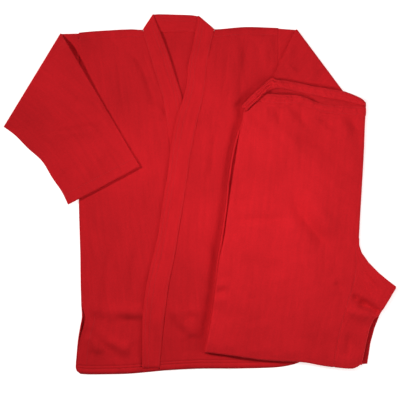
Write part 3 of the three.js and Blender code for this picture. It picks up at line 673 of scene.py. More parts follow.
@dataclass(frozen=True)
class Stitching:
    """Rows of lockstitch, one short thread after another, laid by Geometry Nodes along lines on the cloth."""

    pitch: float = 4.2
    length: float = 3.1
    thread: float = 0.75  # real thread is 0.4 mm, drawn thicker so that it shows

    def tree(self) -> bpy.types.NodeTree:
        """Builds the node tree, with its sizes as named inputs."""
        tree = bpy.data.node_groups.new("stitch_rows", "GeometryNodeTree")
        sockets = (("Rows", "NodeSocketGeometry"), ("Pitch", "NodeSocketFloat"),
                   ("Stitch length", "NodeSocketFloat"), ("Thread width", "NodeSocketFloat"),
                   ("Thread", "NodeSocketMaterial"))
        for name, kind in sockets:
            tree.interface.new_socket(name=name, in_out="INPUT", socket_type=kind)
        tree.interface.new_socket(name="Stitches", in_out="OUTPUT", socket_type="NodeSocketGeometry")
        given = add_node(tree, "NodeGroupInput")
        rows = add_node(tree, "GeometryNodeResampleCurve", {"mode": "LENGTH"},
                        {"Curve": given.outputs["Rows"], "Length": given.outputs["Pitch"]})
        spots = add_node(tree, "GeometryNodeCurveToPoints", {"mode": "EVALUATED"},
                         {"Curve": rows.outputs["Curve"]})
        turn = add_node(tree, "FunctionNodeAlignRotationToVector", {"axis": "X"},
                        {"Vector": spots.outputs["Tangent"]})
        bead = add_node(tree, "GeometryNodeMeshUVSphere", {}, {}, Segments=6, Rings=4, Radius=0.5)
        size = add_node(tree, "ShaderNodeCombineXYZ", {}, {"X": given.outputs["Stitch length"],
                        "Y": given.outputs["Thread width"], "Z": given.outputs["Thread width"]})
        placed = add_node(tree, "GeometryNodeInstanceOnPoints", {},
                          {"Points": spots.outputs["Points"], "Instance": bead.outputs["Mesh"],
                           "Rotation": turn.outputs["Rotation"], "Scale": size.outputs["Vector"]})
        real = add_node(tree, "GeometryNodeRealizeInstances", {}, {"Geometry": placed.outputs["Instances"]})
        dressed = add_node(tree, "GeometryNodeSetMaterial", {},
                           {"Geometry": real.outputs["Geometry"], "Material": given.outputs["Thread"]})
        add_node(tree, "NodeGroupOutput", {}, {"Stitches": dressed.outputs["Geometry"]})
        return tree

    def sew(self, name: str, rows: Sequence[np.ndarray], thread: bpy.types.Material) -> bpy.types.Object:
        """Lays stitches along rows.

        Args:
            name: The object's name.
            rows: The rows' points, in millimetres.
            thread: The thread's material.

        Returns:
            The stitches as one mesh.
        """
        curve = bpy.data.curves.new(name + "_rows", "CURVE")
        curve.dimensions = "3D"
        for row in rows:
            spline = curve.splines.new("POLY")
            spline.points.add(len(row) - 1)
            spline.points.foreach_set("co", np.c_[row * MM, np.ones(len(row))].ravel())
        guide = bpy.data.objects.new(name + "_rows", curve)
        bpy.context.scene.collection.objects.link(guide)
        tree = self.tree()
        layer = guide.modifiers.new("stitches", "NODES")
        layer.node_group = tree
        sizes = {"Pitch": self.pitch * MM, "Stitch length": self.length * MM,
                 "Thread width": self.thread * MM, "Thread": thread}
        for item in tree.interface.items_tree:
            if item.in_out == "INPUT" and item.name in sizes:
                layer[item.identifier] = sizes[item.name]
        bpy.context.view_layer.update()
        ready = guide.evaluated_get(bpy.context.evaluated_depsgraph_get())
        mesh = bpy.data.meshes.new_from_object(ready)
        mesh.name = name
        made = bpy.data.objects.new(name, mesh)
        bpy.context.scene.collection.objects.link(made)
        bpy.data.objects.remove(guide)
        return made


# The jacket's edges, as x at a height y, or y at a place x
LEFT_LAPEL = Table("y free seam", [
    (393, -3, 40), (362, -9, 33), (316, -18, 22.5), (289, -25, 17.5), (245, -29, 13.5), (207, -38, 7),
    (170, -51, -2), (99, -64.5, -16.5), (47, -70.5, -25), (-13, -81.5, -34), (-83, -91, -46),
    (-138, -103.5, -55), (-189, -115.5, -65.5), (-244, -124, -73.5), (-296, -127, -80), (-381, -127, -88)])
RIGHT_LAPEL = Table("y free seam", [
    (396, -104, -141), (361, -90, -127), (320, -74, -116), (262, -55, -98), (206, -38, -82), (90, -24, -66),
    (-24, -11, -54), (-123, 15, -29), (-244, 42, -1), (-381, 46, 4)])
RIGHT_SIDE = Table("y front back", [
    (354, -266, -266), (107, -266, -266), (-16, -266, -266), (-125, -263, -263), (-240, -260, -261),
    (-270, -251.5, -259.5), (-293, -256, -263.5), (-307, -260.5, -266), (-324, -264, -268.5),
    (-352, -267.8, -271), (-380, -269.2, -272.8), (-390, -266.5, -269.8), (-394, -262, -265),
    (-396, -256, -259)])
LEFT_SIDE = Table("y x", [
    (364, 172), (107, 172), (-13, 176), (-145, 190), (-257, 210), (-310, 228), (-356, 240)])
HEM = Table("x y", [
    (-273, -394), (-249, -396), (-215, -396), (-161, -394.7), (-110, -390.3), (-73, -386.8), (0, -383.2),
    (88, -382.8), (168, -380.2), (202, -374.7), (222, -367.6), (242, -355)])
SHOULDERS = Table("x y", [
    (-307, 354.2), (-284, 353.5), (-242, 357), (-195, 360), (-152, 362), (-127, 361), (33, 362), (98, 367),
    (157, 365.6), (212, 363)])
BACK_NECK = Table("x y", [
    (-134, 361.5), (-128, 358), (-114, 356.4), (-46, 356.4), (22, 356.4), (35, 358.4), (41, 362.6)])
NECK_TURN = Table("seam free", [(-381, -381), (0, 0), (262, 262), (316, 328), (340, 362), (361, 396)])
COLLAR_BACK = Table("free_x free_y seam_x seam_y", [
    (-88, 395.5, -114, 355.9), (-53, 394.5, -46, 355.9), (-20, 393.5, 22, 355.9)])
HEM_Y = -381.0
NECK_Y = 322.0  # where the lapels begin to climb onto the collar
NECK_CLIMB = 28.0  # and over what length they do
STEP_REACH = 21  # how far past the right lapel's edge the left front still lies high


class Lines:
    """The jacket's and the trousers' lines as they lie, which their pieces share."""

    def __init__(self) -> None:
        """Builds the curves and outlines from the tables."""
        self.left_free, self.left_seam = LEFT_LAPEL.curve("y", "free"), LEFT_LAPEL.curve("y", "seam")
        self.right_free, self.right_seam = RIGHT_LAPEL.curve("y", "free"), RIGHT_LAPEL.curve("y", "seam")
        self.front_side, self.back_side = RIGHT_SIDE.curve("y", "front"), RIGHT_SIDE.curve("y", "back")
        self.left_side = LEFT_SIDE.curve("y", "x")
        self.hem, self.shoulder = HEM.curve("x", "y"), SHOULDERS.curve("x", "y")
        self.neckline = BACK_NECK.curve("x", "y", straight=True)
        self.sleeve_right, self.sleeve_left = RIGHT_SLEEVE.outline(), LEFT_SLEEVE.outline()
        self.jacket = [*LEFT_SIDE.points("x", "y"), *HEM.points("x", "y")[::-1],
                       *SHOULDERS.points("x", "y")[1:-1]]
        past = [(x + STEP_REACH, y) for x, y in RIGHT_LAPEL.points("free", "y")]
        self.lapped = [*past, *LEFT_LAPEL.points("free", "y")[::-1]]
        self.trousers = TROUSER_OUTLINE

    def neck_z(self, y: np.ndarray) -> np.ndarray:
        """Under face of a lapel, which climbs onto the collar behind the neck."""
        return lerp(LAYER, BAND + SEAM_GAP, ease((y - NECK_Y) / NECK_CLIMB))

    def left_front_z(self, x: np.ndarray, y: np.ndarray) -> np.ndarray:
        """Under face of the left front: over the right lapel, then down past that lapel's edge."""
        # The step down past the band is long and uneven, and crisp only a little below the lapel's middle
        long = 30 + 14 * np.sin(y / 70.0)
        crisp = bell(y + 74, 60)
        past = (x - self.right_free(y) - 3) / lerp(long, 13.0, crisp)
        low = self.neck_z(y)
        lapped = lerp(LAYER + BAND + 0.3, LAYER + CLOTH + 0.1, ease((self.right_seam(y) - 3 - x) / 13))
        return lerp(low, np.maximum(lapped, low), 1 - ease(past))

    def armhole_rise(self, x: np.ndarray, y: np.ndarray) -> np.ndarray:
        """How far the cloth beside the right sleeve's fold is pushed up, near the shoulder."""
        fold_x, fold_y = RIGHT_SLEEVE.fold[0]
        past = x - fold_x - 0.598 * (fold_y - y)  # the armhole slants across from the sleeve's upper corner
        flank = ramp(past, 6, 23) * bell(np.clip(past - 23, 0, None), 30)
        return 6.5 * flank * ramp(y, 353, 331) * ramp(y, 284, 318)

    def clear(self, x: np.ndarray, y: np.ndarray, near: float = 3.0, fade: float = 22.0) -> np.ndarray:
        """How free the jacket's cloth is to rise: 0 under what lies on it, 1 away from it.

        Args:
            x: Places across.
            y: Places along.
            near: Up to what distance it is held down.
            fade: Over what length it comes free.

        Returns:
            The freedom at each place.
        """
        total = np.ones(x.shape)
        for outline in (self.sleeve_right, self.sleeve_left, self.trousers):
            total = total * ease((outside_distance(x, y, outline) - near) / fade)
        return total


@dataclass(frozen=True)
class SleeveLines:
    """A sleeve's lines as it lies folded over the front: from the armhole, round the fold, to the cuff."""

    arm: tuple[tuple[float, float], tuple[float, float]]
    fold: tuple[tuple[float, float], tuple[float, float]]
    cuff: tuple[tuple[float, float], tuple[float, float]]
    bend: tuple[tuple[float, float], tuple[float, float]]
    puff: float

    def edge(self, which: int, t: np.ndarray) -> np.ndarray:
        """Points of the upper (0) or lower (1) long edge, from the fold to the cuff."""
        t = np.asarray(t, float)[..., None]
        straight = lerp(np.array(self.fold[which]), np.array(self.cuff[which]), t)
        wave = 1.5 * which * np.sin(14.5 * t + 0.6) * np.sin(math.pi * t)
        return straight + (4 * t * (1 - t) + wave * 0.1) * np.array(self.bend[which])

    def outline(self) -> list[tuple[float, float]]:
        """The folded part's outline."""
        t = np.linspace(0, 1, 13)
        return [tuple(p) for p in np.concatenate([self.edge(0, t), self.edge(1, 1 - t)])]


RIGHT_SLEEVE = SleeveLines(
    arm=((-265.6, 353.6), (-265.6, 107)), fold=((-307, 354.2), (-432.3, 148)),
    cuff=((-132, 61.6), (-290, -22.7)), bend=((0, 0), (11, 9)), puff=2.6)
LEFT_SLEEVE = SleeveLines(
    arm=((171.6, 364.4), (171.6, 107)), fold=((213, 363.4), (358, 169)),
    cuff=((88, 62), (260, 10)), bend=((-7, 1), (-7, 1)), puff=0.0)

# The trousers' edges, for the upper leg and the leg under it
TROUSER_LEFT = Table("y upper under", [
    (182, 95.5, 96), (154, 92.4, 90.5), (136, 87, 83), (93, 80, 72), (31, 70.4, 62), (-13, 64, 58),
    (-50, 59, 53.5), (-97, 52.6, 46.5), (-147, 41.8, 38), (-266, 26.4, 23.5), (-350, 10, 8.5)])
TROUSER_RIGHT = Table("y x", [
    (194, 365.5), (168, 363), (75, 359), (-13, 354), (-92, 349.5), (-112, 349.5)])
GUSSET = Table("y seam upper under", [
    (-112, 343.6, 350, 349.5), (-128, 345, 355, 354), (-150, 346, 370.5, 369), (-173, 345, 393, 391),
    (-188, 342, 411, 408), (-204, 337.5, 432, 427), (-228, 330, 418, 416), (-251, 323.5, 404, 403),
    (-266, 319, 393, 394.5), (-274, 317, 382, 391.5), (-294, 311.5, 373, 383.5), (-327, 304.5, 365, 374.5),
    (-373, 297, 356, 367.5)])
FOLD_ACROSS = Table("x upper under", [
    (10, -347, -348), (51, -352.4, -354.5), (94, -358.2, -361), (134, -364, -366), (182, -367, -368),
    (223, -368.5, -369), (267, -376.6, -375), (296, -380.5, -377), (334, -383.5, -376.5),
    (347, -379, -375), (356, -372, -373.5), (368, -370, -372.5)])
FRONT_CASING = Table("x top seam", [
    (134, 207.5, 203), (146, 218.5, 201), (160, 219, 198.5), (209, 217, 197), (229, 212.5, 193),
    (266, 198.4, 179), (282, 196.2, 176.5), (315, 194, 174), (365.5, 192, 172)])
BACK_CASING = Table("outer_x outer_y inner_x inner_y", [
    (91, 193, 103, 183.5), (123, 224.5, 129, 206), (150, 249.5, 148, 224), (158, 254.5, 158, 230),
    (168, 251.5, 170, 231.5), (195, 248.2, 194, 228.5), (242, 238, 239, 218.5), (290, 229.5, 287, 210),
    (318, 224.2, 313, 205.5), (343, 214.5, 334, 200.5), (357, 207, 349, 196.5), (364, 198, 356, 193)])
GUSSET_TOP = -112.0
CASING_START = 134.0  # where the front casing comes out from the back one
ROLL = 5.0  # how round the trousers' folded edges are
TROUSER_OUTLINE = [
    *TROUSER_LEFT.points("under", "y"),
    *[(x, min(a, b)) for x, a, b in zip(*(FOLD_ACROSS.columns[k] for k in ("x", "upper", "under")))],
    *[(max(a, b), y) for y, a, b in zip(*(GUSSET.columns[k] for k in ("y", "upper", "under")))][::-1],
    *BACK_CASING.points("outer_x", "outer_y")[::-1]]

# Creases: ridges and troughs as they run in the photograph
FINE_RIPPLE = Ripple(17, 0.2, 17, 9)
BODY_RIPPLES = (Ripple(11, 0.9, 95), Ripple(13, 0.5, 31, 9, 4, 16), FINE_RIPPLE)
RIGHT_FRONT_CREASES = folds(
    (-142, 328, -99, 216, -4.8, 10, 3), (-154, 308, -119, 206, 4.5, 12), (-121, 316, -90, 232, 3.4, 10),
    (-161, 270, -151, 136, -5.0, 15), (-138, 216, -62, 168, 6.2, 15, -4), (-142, 169, -70, 138, -5.6, 8),
    (-192, 262, -203, 70, 3.9, 24), (-118, 118, -146, -50, 3.9, 26, 5), (-238, 330, -196, 300, -2.5, 12),
    (-214, -96, -230, -272, 5.0, 16), (-190, -110, -197, -264, -4.2, 12),
    (-162, -80, -173, -272, 5.0, 17), (-138, -120, -141, -262, -3.4, 11),
    (-247, -120, -246, -230, -2.5, 10), (-228, -275, -163, -327, -4.6, 10, 3),
    (-206, -318, -152, -350, 5.6, 13), (-180, -285, -126, -281, -3.2, 10),
    (-182, -262, -118, -256, 3.2, 16), (-250, -305, -212, -352, 4.8, 15),
    (-243, -346, -196, -379, -3.6, 8), (-152, -330, -112, -368, -3.9, 11),
    (-196, -356, -168, -392, 3.1, 8), (-140, -352, -134, -392, 2.5, 9),
    (-254, -252, -172, -266, 3.6, 17, 3, 0.2), (-192, -254, -112, -262, 3.8, 16, -3, 0.25, 0.3),
    (-250, -276, -200, -330, 3.0, 16), (-238, -300, -196, -352, -3.0, 9)) + BODY_RIPPLES
LEFT_FRONT_CREASES = folds(
    (-70, -262, 0, -256, 4.0, 16, 2, 0.3, 0.3), (-66, -300, -4, -298, 2.4, 26, 0, 0.3),
    (89, 334, 61, 186, 5.3, 18, -3), (58, 330, 36, 206, -3.9, 13), (118, 344, 110, 252, -4.2, 14),
    (150, 350, 148, 276, 3.4, 15), (22, 158, 6, 26, 4.8, 17), (42, 150, 28, -30, -3.1, 14),
    (-34, -226, -19, -284, -3.9, 8), (-50, -256, -11, -320, 3.2, 14),
    (-79, -268, -24, -312, -4.4, 10, -4), (-28, -310, 8, -350, -3.8, 10), (4, -232, -8, -330, 1.4, 18),
    (-64, -322, -50, -381, -3.4, 10), (-30, -345, -28, -384, 2.8, 9),
    (-18, 206, -28, 96, -2.2, 10)) + BODY_RIPPLES
LAPEL_CREASES = folds(
    (-70, 60, -84, -40, 1.7, 14), (-100, -215, -108, -300, 2.2, 12)) + BODY_RIPPLES
RIGHT_SLEEVE_CREASES = folds(
    (-352, 262, -262, 196, 3.0, 20, 5), (-322, 150, -206, 182, -6.0, 11, -6),
    (-334, 128, -216, 150, 5.0, 13), (-382, 152, -300, 46, 3.6, 17), (-258, 30, -196, 118, 2.8, 15),
    (-318, 318, -286, 262, -3.1, 11), (-404, 186, -356, 178, -2.5, 12), (-226, 212, -190, 128, 2.5, 12),
    (-312, 20, -262, 66, -2.2, 10)) + (
    Ripple(23, 0.9, 85), Ripple(24, 0.45, 29, 9, 35, 30), FINE_RIPPLE)
LEFT_SLEEVE_CREASES = folds(
    (238, 330, 214, 268, -3.6, 14), (262, 300, 232, 240, 3.4, 14), (198, 330, 186, 262, 2.8, 14),
    (300, 246, 262, 226, -2.5, 10), (184, 284, 200, 260, -3.0, 6), (200, 282, 207, 262, 2.6, 7)) + (
    Ripple(29, 0.7, 80), Ripple(24, 0.45, 29, 9, -35, 30), FINE_RIPPLE)
UPPER_LEG_CREASES = folds(
    (196, 2, 291, -133, -5.9, 13, -3), (220, 26, 302, -98, 4.5, 17), (186, -36, 264, -152, 3.6, 20),
    (62, -55, 200, -59, -3.1, 8, 0, 0.3), (66, -34, 206, -37, 3.1, 15), (112, 132, 192, 38, 3.6, 26),
    (222, 150, 326, 44, -5.3, 27, 6), (172, 150, 226, 92, 2.5, 14), (268, 148, 350, 92, 2.8, 16),
    (28, -217, 60, -212, -2.6, 7), (26, -200, 66, -196, 2.5, 10), (24, -236, 62, -232, 2.5, 10),
    (297, -192, 312, -210, -3.6, 6), (288, -180, 302, -222, 2.5, 11), (318, -250, 372, -276, 5.6, 11),
    (334, -221, 364, -250, -6.5, 5.5, 0, 0, 0.3), (350, -233, 396, -261, -7.5, 5.5, 0, 0, 0.3),
    (340, -212, 398, -240, 3.0, 8), (336, -246, 384, -272, 3.0, 7), (350, -152, 402, -232, -3.0, 4.5),
    (348, -184, 394, -244, -2.8, 5), (346, -150, 388, -196, 3.1, 10), (330, -300, 322, -366, -2.5, 9),
    (60, -280, 200, -300, 2.0, 24), (100, -130, 180, -180, -2.0, 24), (210, -220, 250, -340, 2.2, 26),
    (166, 192, 178, 152, -3.4, 7), (190, 190, 208, 158, 2.8, 8), (214, 190, 236, 142, -3.6, 8),
    (246, 178, 262, 150, 2.5, 8), (268, 172, 298, 136, -3.4, 8), (306, 170, 330, 124, 3.1, 9),
    (332, 168, 346, 132, -2.8, 7), (116, 182, 132, 150, -2.5, 8), (142, 190, 152, 158, 2.5, 8)) + (
    Ripple(37, 0.95, 90), Ripple(38, 0.45, 36, 9), Ripple(39, 0.2, 17, 9))
UNDER_CREASES = (Ripple(41, 0.25, 80),)


@dataclass
class Jacket:
    """The jacket: back, two fronts, the collar band and two folded sleeves."""

    lines: Lines
    dresser: Dresser
    hem_rows: tuple[float, float] = (10.0, 16.0)
    hem_depth: float = 17.0
    shoulder_row: float = 15.0
    vent_row: float = 20.0
    vent_top: float = -262.0
    vent_lip: tuple[float, float, float] = (4.3, -290.0, 33.0)  # the back's curl: height, middle, reach
    vent_curl: tuple[float, float, float] = (5.6, -282.0, 30.0)  # the front's
    cuff_row: float = 22.0
    band_width: float = 40.0
    band_rows: tuple[float, float, float] = (6.0, 14.0, 36.5)
    band_thick: float = 2.0
    slope_height: float = 5.6  # of the cloth pushed up beside the trousers, at the places of beside_pile
    corner_height: float = 12.5  # of the right sleeve's upper corner at its fold
    beside_pile: tuple[tuple[float, ...], tuple[float, ...]] = (
        (-350, -266, -147, -50, 31, 136, 182, 300), (10, 26, 42, 59, 70, 87, 95, 120))
    front_rise: float = 2.0
    rows: list[np.ndarray] = field(default_factory=list)

    def build(self) -> list[bpy.types.Object]:
        """Builds and dresses every piece.

        Returns:
            The pieces.
        """
        pieces = [self.back(), self.right_front(), self.left_front(), self.collar_band(),
                  self.sleeve("sleeve_right", RIGHT_SLEEVE, RIGHT_SLEEVE_CREASES),
                  self.sleeve("sleeve_left", LEFT_SLEEVE, LEFT_SLEEVE_CREASES)]
        stitches = Stitching().sew("jacket_stitches", self.rows, self.dresser.thread)
        pieces.append(self.dresser.dress(stitches, Slot.JACKET))
        return pieces

    @staticmethod
    def turned(distance: np.ndarray, depth: float) -> np.ndarray:
        """What a hem turned in to a depth adds to the cloth at a distance from its edge."""
        return HEM_PLY * (1 - ease((distance - depth) / 3))

    def panel(self, patch: Patch, z: Callable) -> Cloth:
        """A body panel with a turned hem, stitched below, and rows of stitches at the shoulder.

        Args:
            patch: The panel's edges and grid.
            z: Height of its middle surface at points.

        Returns:
            The panel's cloth.
        """
        x, y = patch.grid()
        low, high = y - patch.bottom(x), patch.top(x) - y
        groove = grooves(low, self.hem_rows) + grooves(high, (self.shoulder_row,), 0.35)
        thick = DRILL + self.turned(low, self.hem_depth) + self.turned(high, 16) - groove
        rounding = 1.1 * (1 - np.sqrt(1 - (1 - np.clip(high / 4, 0, 1)) ** 2))
        height = z(x, y) - groove * 0.8 - rounding
        return Cloth(np.stack([x, y, height], axis=2), thick)

    def back(self) -> bpy.types.Object:
        """The back panel, flat on the surface."""
        lines = self.lines
        patch = Patch(lines.back_side, lines.left_side, lines.hem,
                      lambda x: np.minimum(lines.shoulder(x), lines.neckline(x)),
                      near_left=(0.0, 1.0, 2.0, 3.0, 4.0, 5.0, 7.0), near_bottom=stitched(self.hem_rows, 22),
                      near_top=(0.0, 1.5, 4.0), step=7.0)
        x, y = patch.grid()
        low = y - patch.bottom(x)
        thick = DRILL + self.turned(low, self.hem_depth) - grooves(low, self.hem_rows, 0.3)
        height, middle, reach = self.vent_lip
        lip = height * bell(x - patch.left(y) - 1.0, 2.0) * bell(y - middle, reach)
        cloth = Cloth(np.stack([x, y, thick / 2 + lip], axis=2), thick)
        piece = self.dresser.dress(cloth.object("back_cloth"), Slot.JACKET, "back")
        return piece

    def right_front(self) -> bpy.types.Object:
        """The right front, which lies under, with its vent and hem."""
        lines = self.lines
        patch = Patch(lines.front_side, lambda y: lines.right_seam(y) + 0.8,
                      lambda x: lines.hem(x) + self.front_rise, lines.shoulder,
                      near_left=stitched((self.vent_row,), 24), near_right=(0.0, 1.4, 3.0, 5.0),
                      near_bottom=stitched(self.hem_rows, 22),
                      near_top=stitched((self.shoulder_row,), 18), step=4.5)
        height, middle, reach = self.vent_curl

        def z(x: np.ndarray, y: np.ndarray) -> np.ndarray:
            """Height of the middle surface."""
            side = ease((x - patch.left(y)) / 12)
            curl = height * bell(y - middle, reach) * np.exp(-np.clip(x - patch.left(y), 0, None) / 9)
            curl = curl + lines.armhole_rise(x, y)
            free = np.maximum(lifts(RIGHT_FRONT_CREASES, x, y), LOWEST) * lines.clear(x, y) * side
            free = free * ramp(lines.right_seam(y) - x, -2, 11)
            free = free * ramp(lines.left_free(y) - x, -6, 6)
            return LAYER + CLOTH / 2 + free + curl

        cloth = self.panel(patch, z)
        bottom, top = patch.near_bottom, patch.near_top
        face = cloth.face()
        self.rows += [face[bottom.index(row)] for row in self.hem_rows]
        self.rows.append(face[-1 - top.index(self.shoulder_row)])
        below = slice(bottom.index(self.hem_rows[1]), int(np.argmax(cloth.mid[:, 0, 1] > self.vent_top)))
        self.rows.append(face[below, patch.near_left.index(self.vent_row)])
        piece = self.dresser.dress(cloth.object("front_right_cloth"), Slot.JACKET, "front_right")
        return piece

    def left_front(self) -> bpy.types.Object:
        """The left front, which laps over the right lapel."""
        lines = self.lines
        patch = Patch(lambda y: lines.left_seam(y) + 0.2 - ramp(y, -120, 40), lines.left_side,
                      lambda x: lines.hem(x) + self.front_rise, lines.shoulder,
                      near_left=(0.0, 1.4, 3.0, 5.0), near_bottom=stitched(self.hem_rows, 22),
                      near_top=stitched((self.shoulder_row,), 18), step=4.5)

        def z(x: np.ndarray, y: np.ndarray) -> np.ndarray:
            """Height of the middle surface."""
            free = np.maximum(lifts(LEFT_FRONT_CREASES, x, y), LOWEST) * lines.clear(x, y)
            beside = (x - np.interp(y, *self.beside_pile)) / 34
            crest = np.exp(-((beside + 0.9) ** 2) * 0.7) * ramp(y, -345, -225) * ramp(y, 300, 210)
            # The front is pushed up beside the trousers
            free = free + self.slope_height * crest * lines.clear(x, y, 0.0, 20.0)
            free = free * ease((x - patch.left(y)) / 14) * ease((lines.left_side(y) - x) / 14)
            return lines.left_front_z(x, np.minimum(y, NECK_Y)) + CLOTH / 2 + free

        cloth = self.panel(patch, z)
        face = cloth.face()
        self.rows += [face[patch.near_bottom.index(row)] for row in self.hem_rows]
        self.rows.append(face[-1 - patch.near_top.index(self.shoulder_row)])
        piece = self.dresser.dress(cloth.object("front_left_cloth"), Slot.JACKET, "front_left")
        return piece

    def collar_band(self) -> bpy.types.Object:
        """The band: up the hidden right lapel, round behind the neck and down the left lapel."""
        lines = self.lines
        turn = NECK_TURN.curve("seam", "free")
        seam_y = np.concatenate([np.arange(HEM_Y, 354, 6.0), [354.0]])
        width = self.band_width
        across = np.array(stitched(self.band_rows, width + 0.1, 4.0))
        share = across[across <= width] / width

        def lapel(free: Curve, seam: Curve, under: Callable, stand: float) -> np.ndarray:
            """Points of a lapel from its lower end to the neck."""
            s, sy = np.meshgrid(share, seam_y)
            fy = turn(sy)
            x, y = lerp(free(fy), seam(sy), s), lerp(fy, sy, s)
            # The free edge stands up beside the neck, and the seam's edge sinks into the front lower down
            proud = stand * (1 - s) ** 2 * ramp(y, 225, 285) * ramp(y, 392, 347)
            sunk = 0.45 * ramp(s, 0.86, 1.0) * ramp(y, -150, -30)
            return np.stack([x, y, under(x, y) + self.band_thick / 2 + 0.1 + proud - sunk], axis=2)

        def corner(free: Sequence[float], seam: Sequence[float], out: Sequence[float]) -> np.ndarray:
            """Points of the half turn about a slanted fold beside the neck, from above to below."""
            s, angle = np.meshgrid(share, np.linspace(0, math.pi, 9))
            radius = SEAM_GAP / 2 + BAND / 2
            reach = radius * np.sin(angle) - BAND
            x = lerp(free[0], seam[0], s) + out[0] * reach
            y = lerp(free[1], seam[1], s) + out[1] * reach
            return np.stack([x, y, BAND + SEAM_GAP / 2 + radius * np.cos(angle)], axis=2)

        right_corner = corner((-104, 396), (-127, 361), (-0.836, 0.549))
        left_corner = corner((-3, 393), (33, 362), (0.653, 0.758))[::-1]
        middle = [[(a, b), (c, d)] for a, b, c, d in zip(*COLLAR_BACK.columns.values())]
        knots = np.array([right_corner[-1][[0, -1], :2], *middle, left_corner[0][[0, -1], :2]])
        places = np.linspace(0, len(knots) - 1, 25)[1:-1]
        ends = [[Curve(range(len(knots)), knots[:, e, k])(places) for k in (0, 1)] for e in (0, 1)]
        behind = np.stack([lerp(ends[0][k][:, None], ends[1][k][:, None], share[None]) for k in (0, 1)]
                          + [np.full((len(places), len(share)), BAND / 2 + 0.2)], axis=2)
        right = lapel(lines.right_free, lines.right_seam, lambda x, y: lines.neck_z(y), 2.6)
        left = lapel(lines.left_free, lines.left_seam, lines.left_front_z, 0.0)
        waves = np.maximum(lifts(LAPEL_CREASES, left[..., 0], left[..., 1]), LOWEST)
        left[..., 2] += waves * lines.clear(left[..., 0], left[..., 1])
        left[..., 2] += 1.7 * (1 - share[None]) ** 5 * ramp(left[..., 1], 60, -80)
        mid = np.concatenate([right, right_corner, behind, left_corner, left[::-1]])
        distance = np.broadcast_to(share * width, mid.shape[:2])
        groove = grooves(distance, self.band_rows, 0.5)
        round_edge = 0.9 * bell(distance, 1.4) + 0.4 * bell(width - distance, 1.4)
        flatter = 0.5 * ramp(distance, 34, 40) * ramp(mid[..., 1], -150, -30)
        cloth = Cloth(mid, self.band_thick - groove - round_edge - flatter)
        outer, inner = cloth.face(-1.0), cloth.face()
        behind_neck = slice(len(right) + 9, len(mid) - len(left) - 9)
        shown = slice(int(len(right) * 0.72), len(right))
        for row in self.band_rows:
            index = int(np.argmin(np.abs(share * width - row)))
            self.rows += [outer[shown, index], outer[-len(left):, index], inner[behind_neck, index]]
        # The band takes the drill painted a little lighter than the jacket's, as painted light
        piece = self.dresser.dress(cloth.object("collar_band_cloth"), Slot.BAND, "collar_band")
        return piece

    @staticmethod
    def tube(width: float) -> tuple[np.ndarray, np.ndarray, int]:
        """The section of a tube that lies flat, as points once round it.

        Args:
            width: How wide the flat tube is.

        Returns:
            Each point's share of the width and its height, and how many points the first layer has.
        """
        near = [1.6, 2.4, 4.0, 7.0]
        flat = np.concatenate([near, np.linspace(11, width - 11, 34), [width - d for d in near[::-1]]])
        flat = flat / width
        turn = np.linspace(-math.pi / 2, math.pi / 2, 5)[1:-1]
        radius, middle = LAYER / 2, CLOTH / 2 + LAYER / 2
        end = (width - near[0] + radius * np.cos(turn)) / width
        level = np.full(len(flat), radius)
        q = np.concatenate([flat, end, flat[::-1], 1 - end])
        h = np.concatenate([middle - level, middle + radius * np.sin(turn),
                            middle + level, middle - radius * np.sin(turn)])
        return q, h, len(flat)

    def sleeve(self, name: str, lines: SleeveLines, creases: Sequence[Fold | Ripple]) -> bpy.types.Object:
        """A flat tube of two layers, folded over the front.

        Args:
            name: The CAD node's name.
            lines: Where it lies.
            creases: The creases of its upper face.

        Returns:
            The piece.
        """
        fold_z = CLOTH + LAYER + SEAM_GAP / 2
        arm, fold = np.array(lines.arm), np.array(lines.fold)
        run = fold[1] - fold[0]
        sign = np.sign(arm[0][0] - fold[0][0])
        out = sign * np.array([run[1], -run[0]]) / np.hypot(*run)
        q, h, flat_count = self.tube(np.hypot(*run))
        middle = CLOTH / 2 + LAYER / 2
        loose = lines.puff > 0  # the right sleeve stands a little open, the left one is pressed flat
        inset = fold - out * fold_z
        rings = []
        # From the armhole to the fold
        for t in np.linspace(0, 1, 12)[:-1]:
            ends = lerp(arm, inset, t)
            spot = lerp(ends[0], ends[1], q[:, None])
            rise = (h > middle) * loose * self.lines.armhole_rise(spot[:, 0], spot[:, 1])
            rings.append(np.c_[spot, h + rise])
        # Round the fold
        for angle in np.linspace(0, math.pi, 11)[:-1]:
            ends = lerp(inset[0], inset[1], q[:, None])
            reach = ((fold_z - h) * math.sin(angle))[:, None]
            rings.append(np.c_[ends + out * reach, fold_z - (fold_z - h) * math.cos(angle)])
